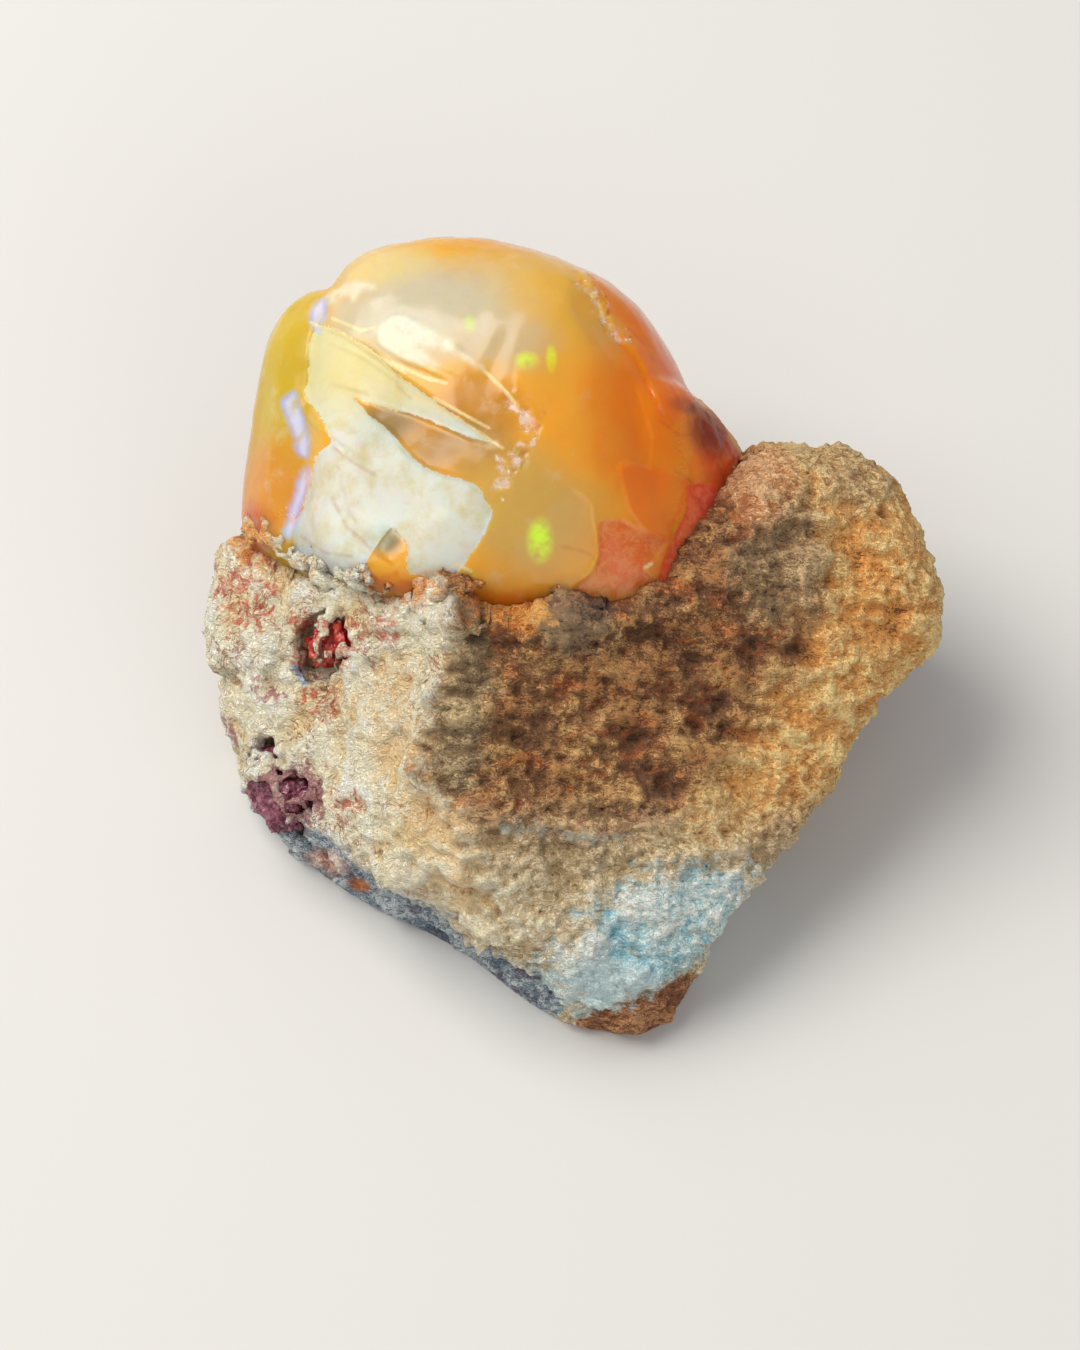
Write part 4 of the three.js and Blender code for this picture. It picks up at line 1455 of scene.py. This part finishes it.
broad = clouds(tree, place, 2.6, 4.0, 0.6)
cream = blend(tree, ramp(tree, broad, 0.48, 0.66), stone["cream"], stone["yellow_cream"])
olive = ramp(tree, clouds(tree, place, 1.4, 4.0, 0.6), 0.6, 0.75, 0, 0.45)
cream = blend(tree, olive, cream, colour(190, 188, 136))
vein_noise = clouds(tree, place, 1.5, 4.0, 0.65, 0.8)
vein = ramp(tree, math(tree, "ABSOLUTE", math(tree, "SUBTRACT", vein_noise, 0.5)), 0.028, 0.006)
vein_where = ramp(tree, clouds(tree, place, 3.4, 2.0), 0.42, 0.56)
vein = times(tree, times(tree, vein, vein_where), 0.75)
stone["cream"] = blend(tree, vein, cream, colour(170, 96, 62))

blue = blend(tree, ramp(tree, broad, 0.48, 0.62), stone["blue"], stone["deep_blue"])
tan_bits = ramp(tree, clouds(tree, place, 1.1, 5.0, 0.65), 0.56, 0.68, 0, 0.5)
blue = blend(tree, tan_bits, blue, stone["low_front"])
# A near-white dab low on the blue patch is painted light, where that surface turns down away from the
# lamps.
stone["blue"] = dab(tree, place, blue, colour(230, 255, 255), (1.2, -15.6, 0), 1.8, (1.4, 0.8, 4), 0.9)

flecks = ramp(tree, clouds(tree, slanted_place, 1.0, 5.0, 0.7), 0.52, 0.62, 0, 0.7)
strip = blend(tree, flecks, stone["strip"], colour(92, 66, 84))
STRIP_SPOTS = [
    # colour, centre, radius, stretch, strength
    (stone["flesh"], (-11.6, -10.4, -2), 0.9, (1.5, 0.8, 3), 0.9),
    (colour(222, 128, 52), (-10.0, -11.4, -2), 0.5, (1.3, 0.8, 5), 0.9),
    (colour(104, 62, 92), (-14.4, -9.0, -2), 0.9, (1, 1, 3), 0.7),
]
for spot in STRIP_SPOTS:
    strip = dab(tree, place, strip, *spot)
stone["strip"] = strip
stone["streak"] = colour(210, 212, 190)
print(len(STRIP_SPOTS), "spots on the strip")

# %% [markdown]
# ## Stains, one over another
#
# The stone's colours were washed in by water, so the shader lays them the same way: brown clay
# first, then cream, ochre, blue and rust, then red and purple specks on top. The ridge shadow
# among them is no stain but painted shade on the crest's far flank.

# %% Stains
EARLY_STAINS = [
    # zone, how ragged its edge is, the grain of the edge, its softness, strength
    ("lobe", 1.0, 1.8, 1.2, 1.0),
    ("lobe_shade", 1.1, 0.8, 0.8, 0.65),
    ("pink_end", 0.3, 0.8, 0.5, 0.75),
]
LATE_STAINS = [
    # painted shadow beside the crest
    ("ridge_shadow", 0.6, 0.7, 0.6, 0.7),
    ("cream", 0.35, 0.8, 0.35, 1.0),
    ("ochre", 1.0, 0.7, 0.6, 0.75),
    ("blue", 1.5, 0.9, 0.9, 0.95),
    ("rust", 0.5, 0.6, 0.25, 1.0),
    ("strip", 0.3, 0.7, 0.2, 1.0),
    ("grey_lump", 0.5, 0.7, 0.5, 0.8),
    ("slab", 0.15, 0.6, 0.1, 0.85),
    ("streak", 0.5, 0.45, 0.16, 0.9),
    ("orange_rim", 0.7, 0.5, 0.4, 0.85),
    ("red", 0.9, 0.6, 0.3, 0.9),
    ("purple", 0.6, 0.5, 0.15, 0.9),
]
broken_up = {
    "streak": ramp(tree, clouds(tree, place, 0.35, 6.0, 0.7), 0.36, 0.56),
    "red": ramp(tree, clouds(tree, place, 0.7, 5.0, 0.65, 1.2), 0.46, 0.56),
}


def lay_stains(tree, place, paint, stains):
    """Paint with one zone of stone after another laid over it."""
    for name, raggedness, grain, softness, strength in stains:
        mask = zone(tree, place, name, raggedness, grain, softness, strength)
        if name in broken_up:
            mask = times(tree, mask, broken_up[name])
        paint = blend(tree, mask, paint, stone[name])
    return paint


speckle = clouds(tree, slanted_place, 0.9, 5.0, 0.7, 0.6)
paint = blend(tree, ramp(tree, broad, 0.42, 0.6), stone["brown"], stone["tan"])
paint = blend(tree, ramp(tree, speckle, 0.5, 0.66), paint, stone["russet"])
paint = lay_stains(tree, place, paint, EARLY_STAINS)
pale_back = ramp(tree, clouds(tree, place, 3.4, 4.0, 0.6, 0.5), 0.5, 0.6, 0, 0.8)
pale_back = times(tree, pale_back, ramp(tree, out, -6, -9))
paint = blend(tree, pale_back, paint, stone["pale_back"])
low_front = times(tree, ramp(tree, up, -6.5, -11), 0.85)
paint = blend(tree, low_front, paint, stone["low_front"])
paint = lay_stains(tree, place, paint, LATE_STAINS)

wrinkles = crumbly_height(tree, place, 0.9, 2.5)
on_cream = zone(tree, place, "cream", 0.2, 0.8, 0.6, 0.7)
height = math(tree, "MULTIPLY_ADD", wrinkles, on_cream, height)
grain_bump = bump(tree, height, 1.0, 0.00025)
fill(shader, {"Base Color": paint, "Normal": grain_bump, "Roughness": 0.82})
dress(rock, rock_finish)
print("rhyolite has", len(tree.nodes), "nodes")

# %% [markdown]
# ## Red and purple seeds
#
# The two pockets are the same glass, dark enough that their own colour hides what is behind.

# %% Red and purple seeds
def seed_finish(name, dark, bright, tint):
    """Deeply coloured lumpy glass."""
    finish, tree, shader = new_finish(name)
    place = show_place(tree)
    patches = ramp(tree, clouds(tree, place, 0.5, 4.0, 0.6), 0.4, 0.65)
    fill(shader, {
        "Base Color": blend(tree, patches, colour(*dark), colour(*bright)), "Roughness": 0.16,
        "IOR": OPAL_IOR, "Transmission Weight": 0.5,
    })
    absorb(tree, tint, 700.0)
    return finish


dress(red_pocket, seed_finish("red opal", (170, 30, 30), (240, 92, 68), (0.97, 0.28, 0.18, 1)))
dress(purple_pocket, seed_finish("purple opal", (116, 40, 66), (206, 130, 150), (0.8, 0.4, 0.5, 1)))
print("materials:", sorted(finish.name for finish in bpy.data.materials))

# %% [markdown]
# ## Everything rides on the frame
# Each fine piece stands for its imported node. The box of the finished model is written next to the
# packed one, so a growth in size would be noticed.

# %% Everything rides on the frame
PIECES = [
    # piece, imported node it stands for, material slot
    (opal, "opal_nodule", "fire_opal"),
    (rock, "host_rock", "host_rock"),
    (red_pocket, "red_opal_pocket", "red_opal"),
    (purple_pocket, "purple_opal_pocket", "purple_opal"),
]
for piece, node, slot in PIECES:
    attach(piece, "root")
    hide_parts(node)
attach(milky_cloud, "root")
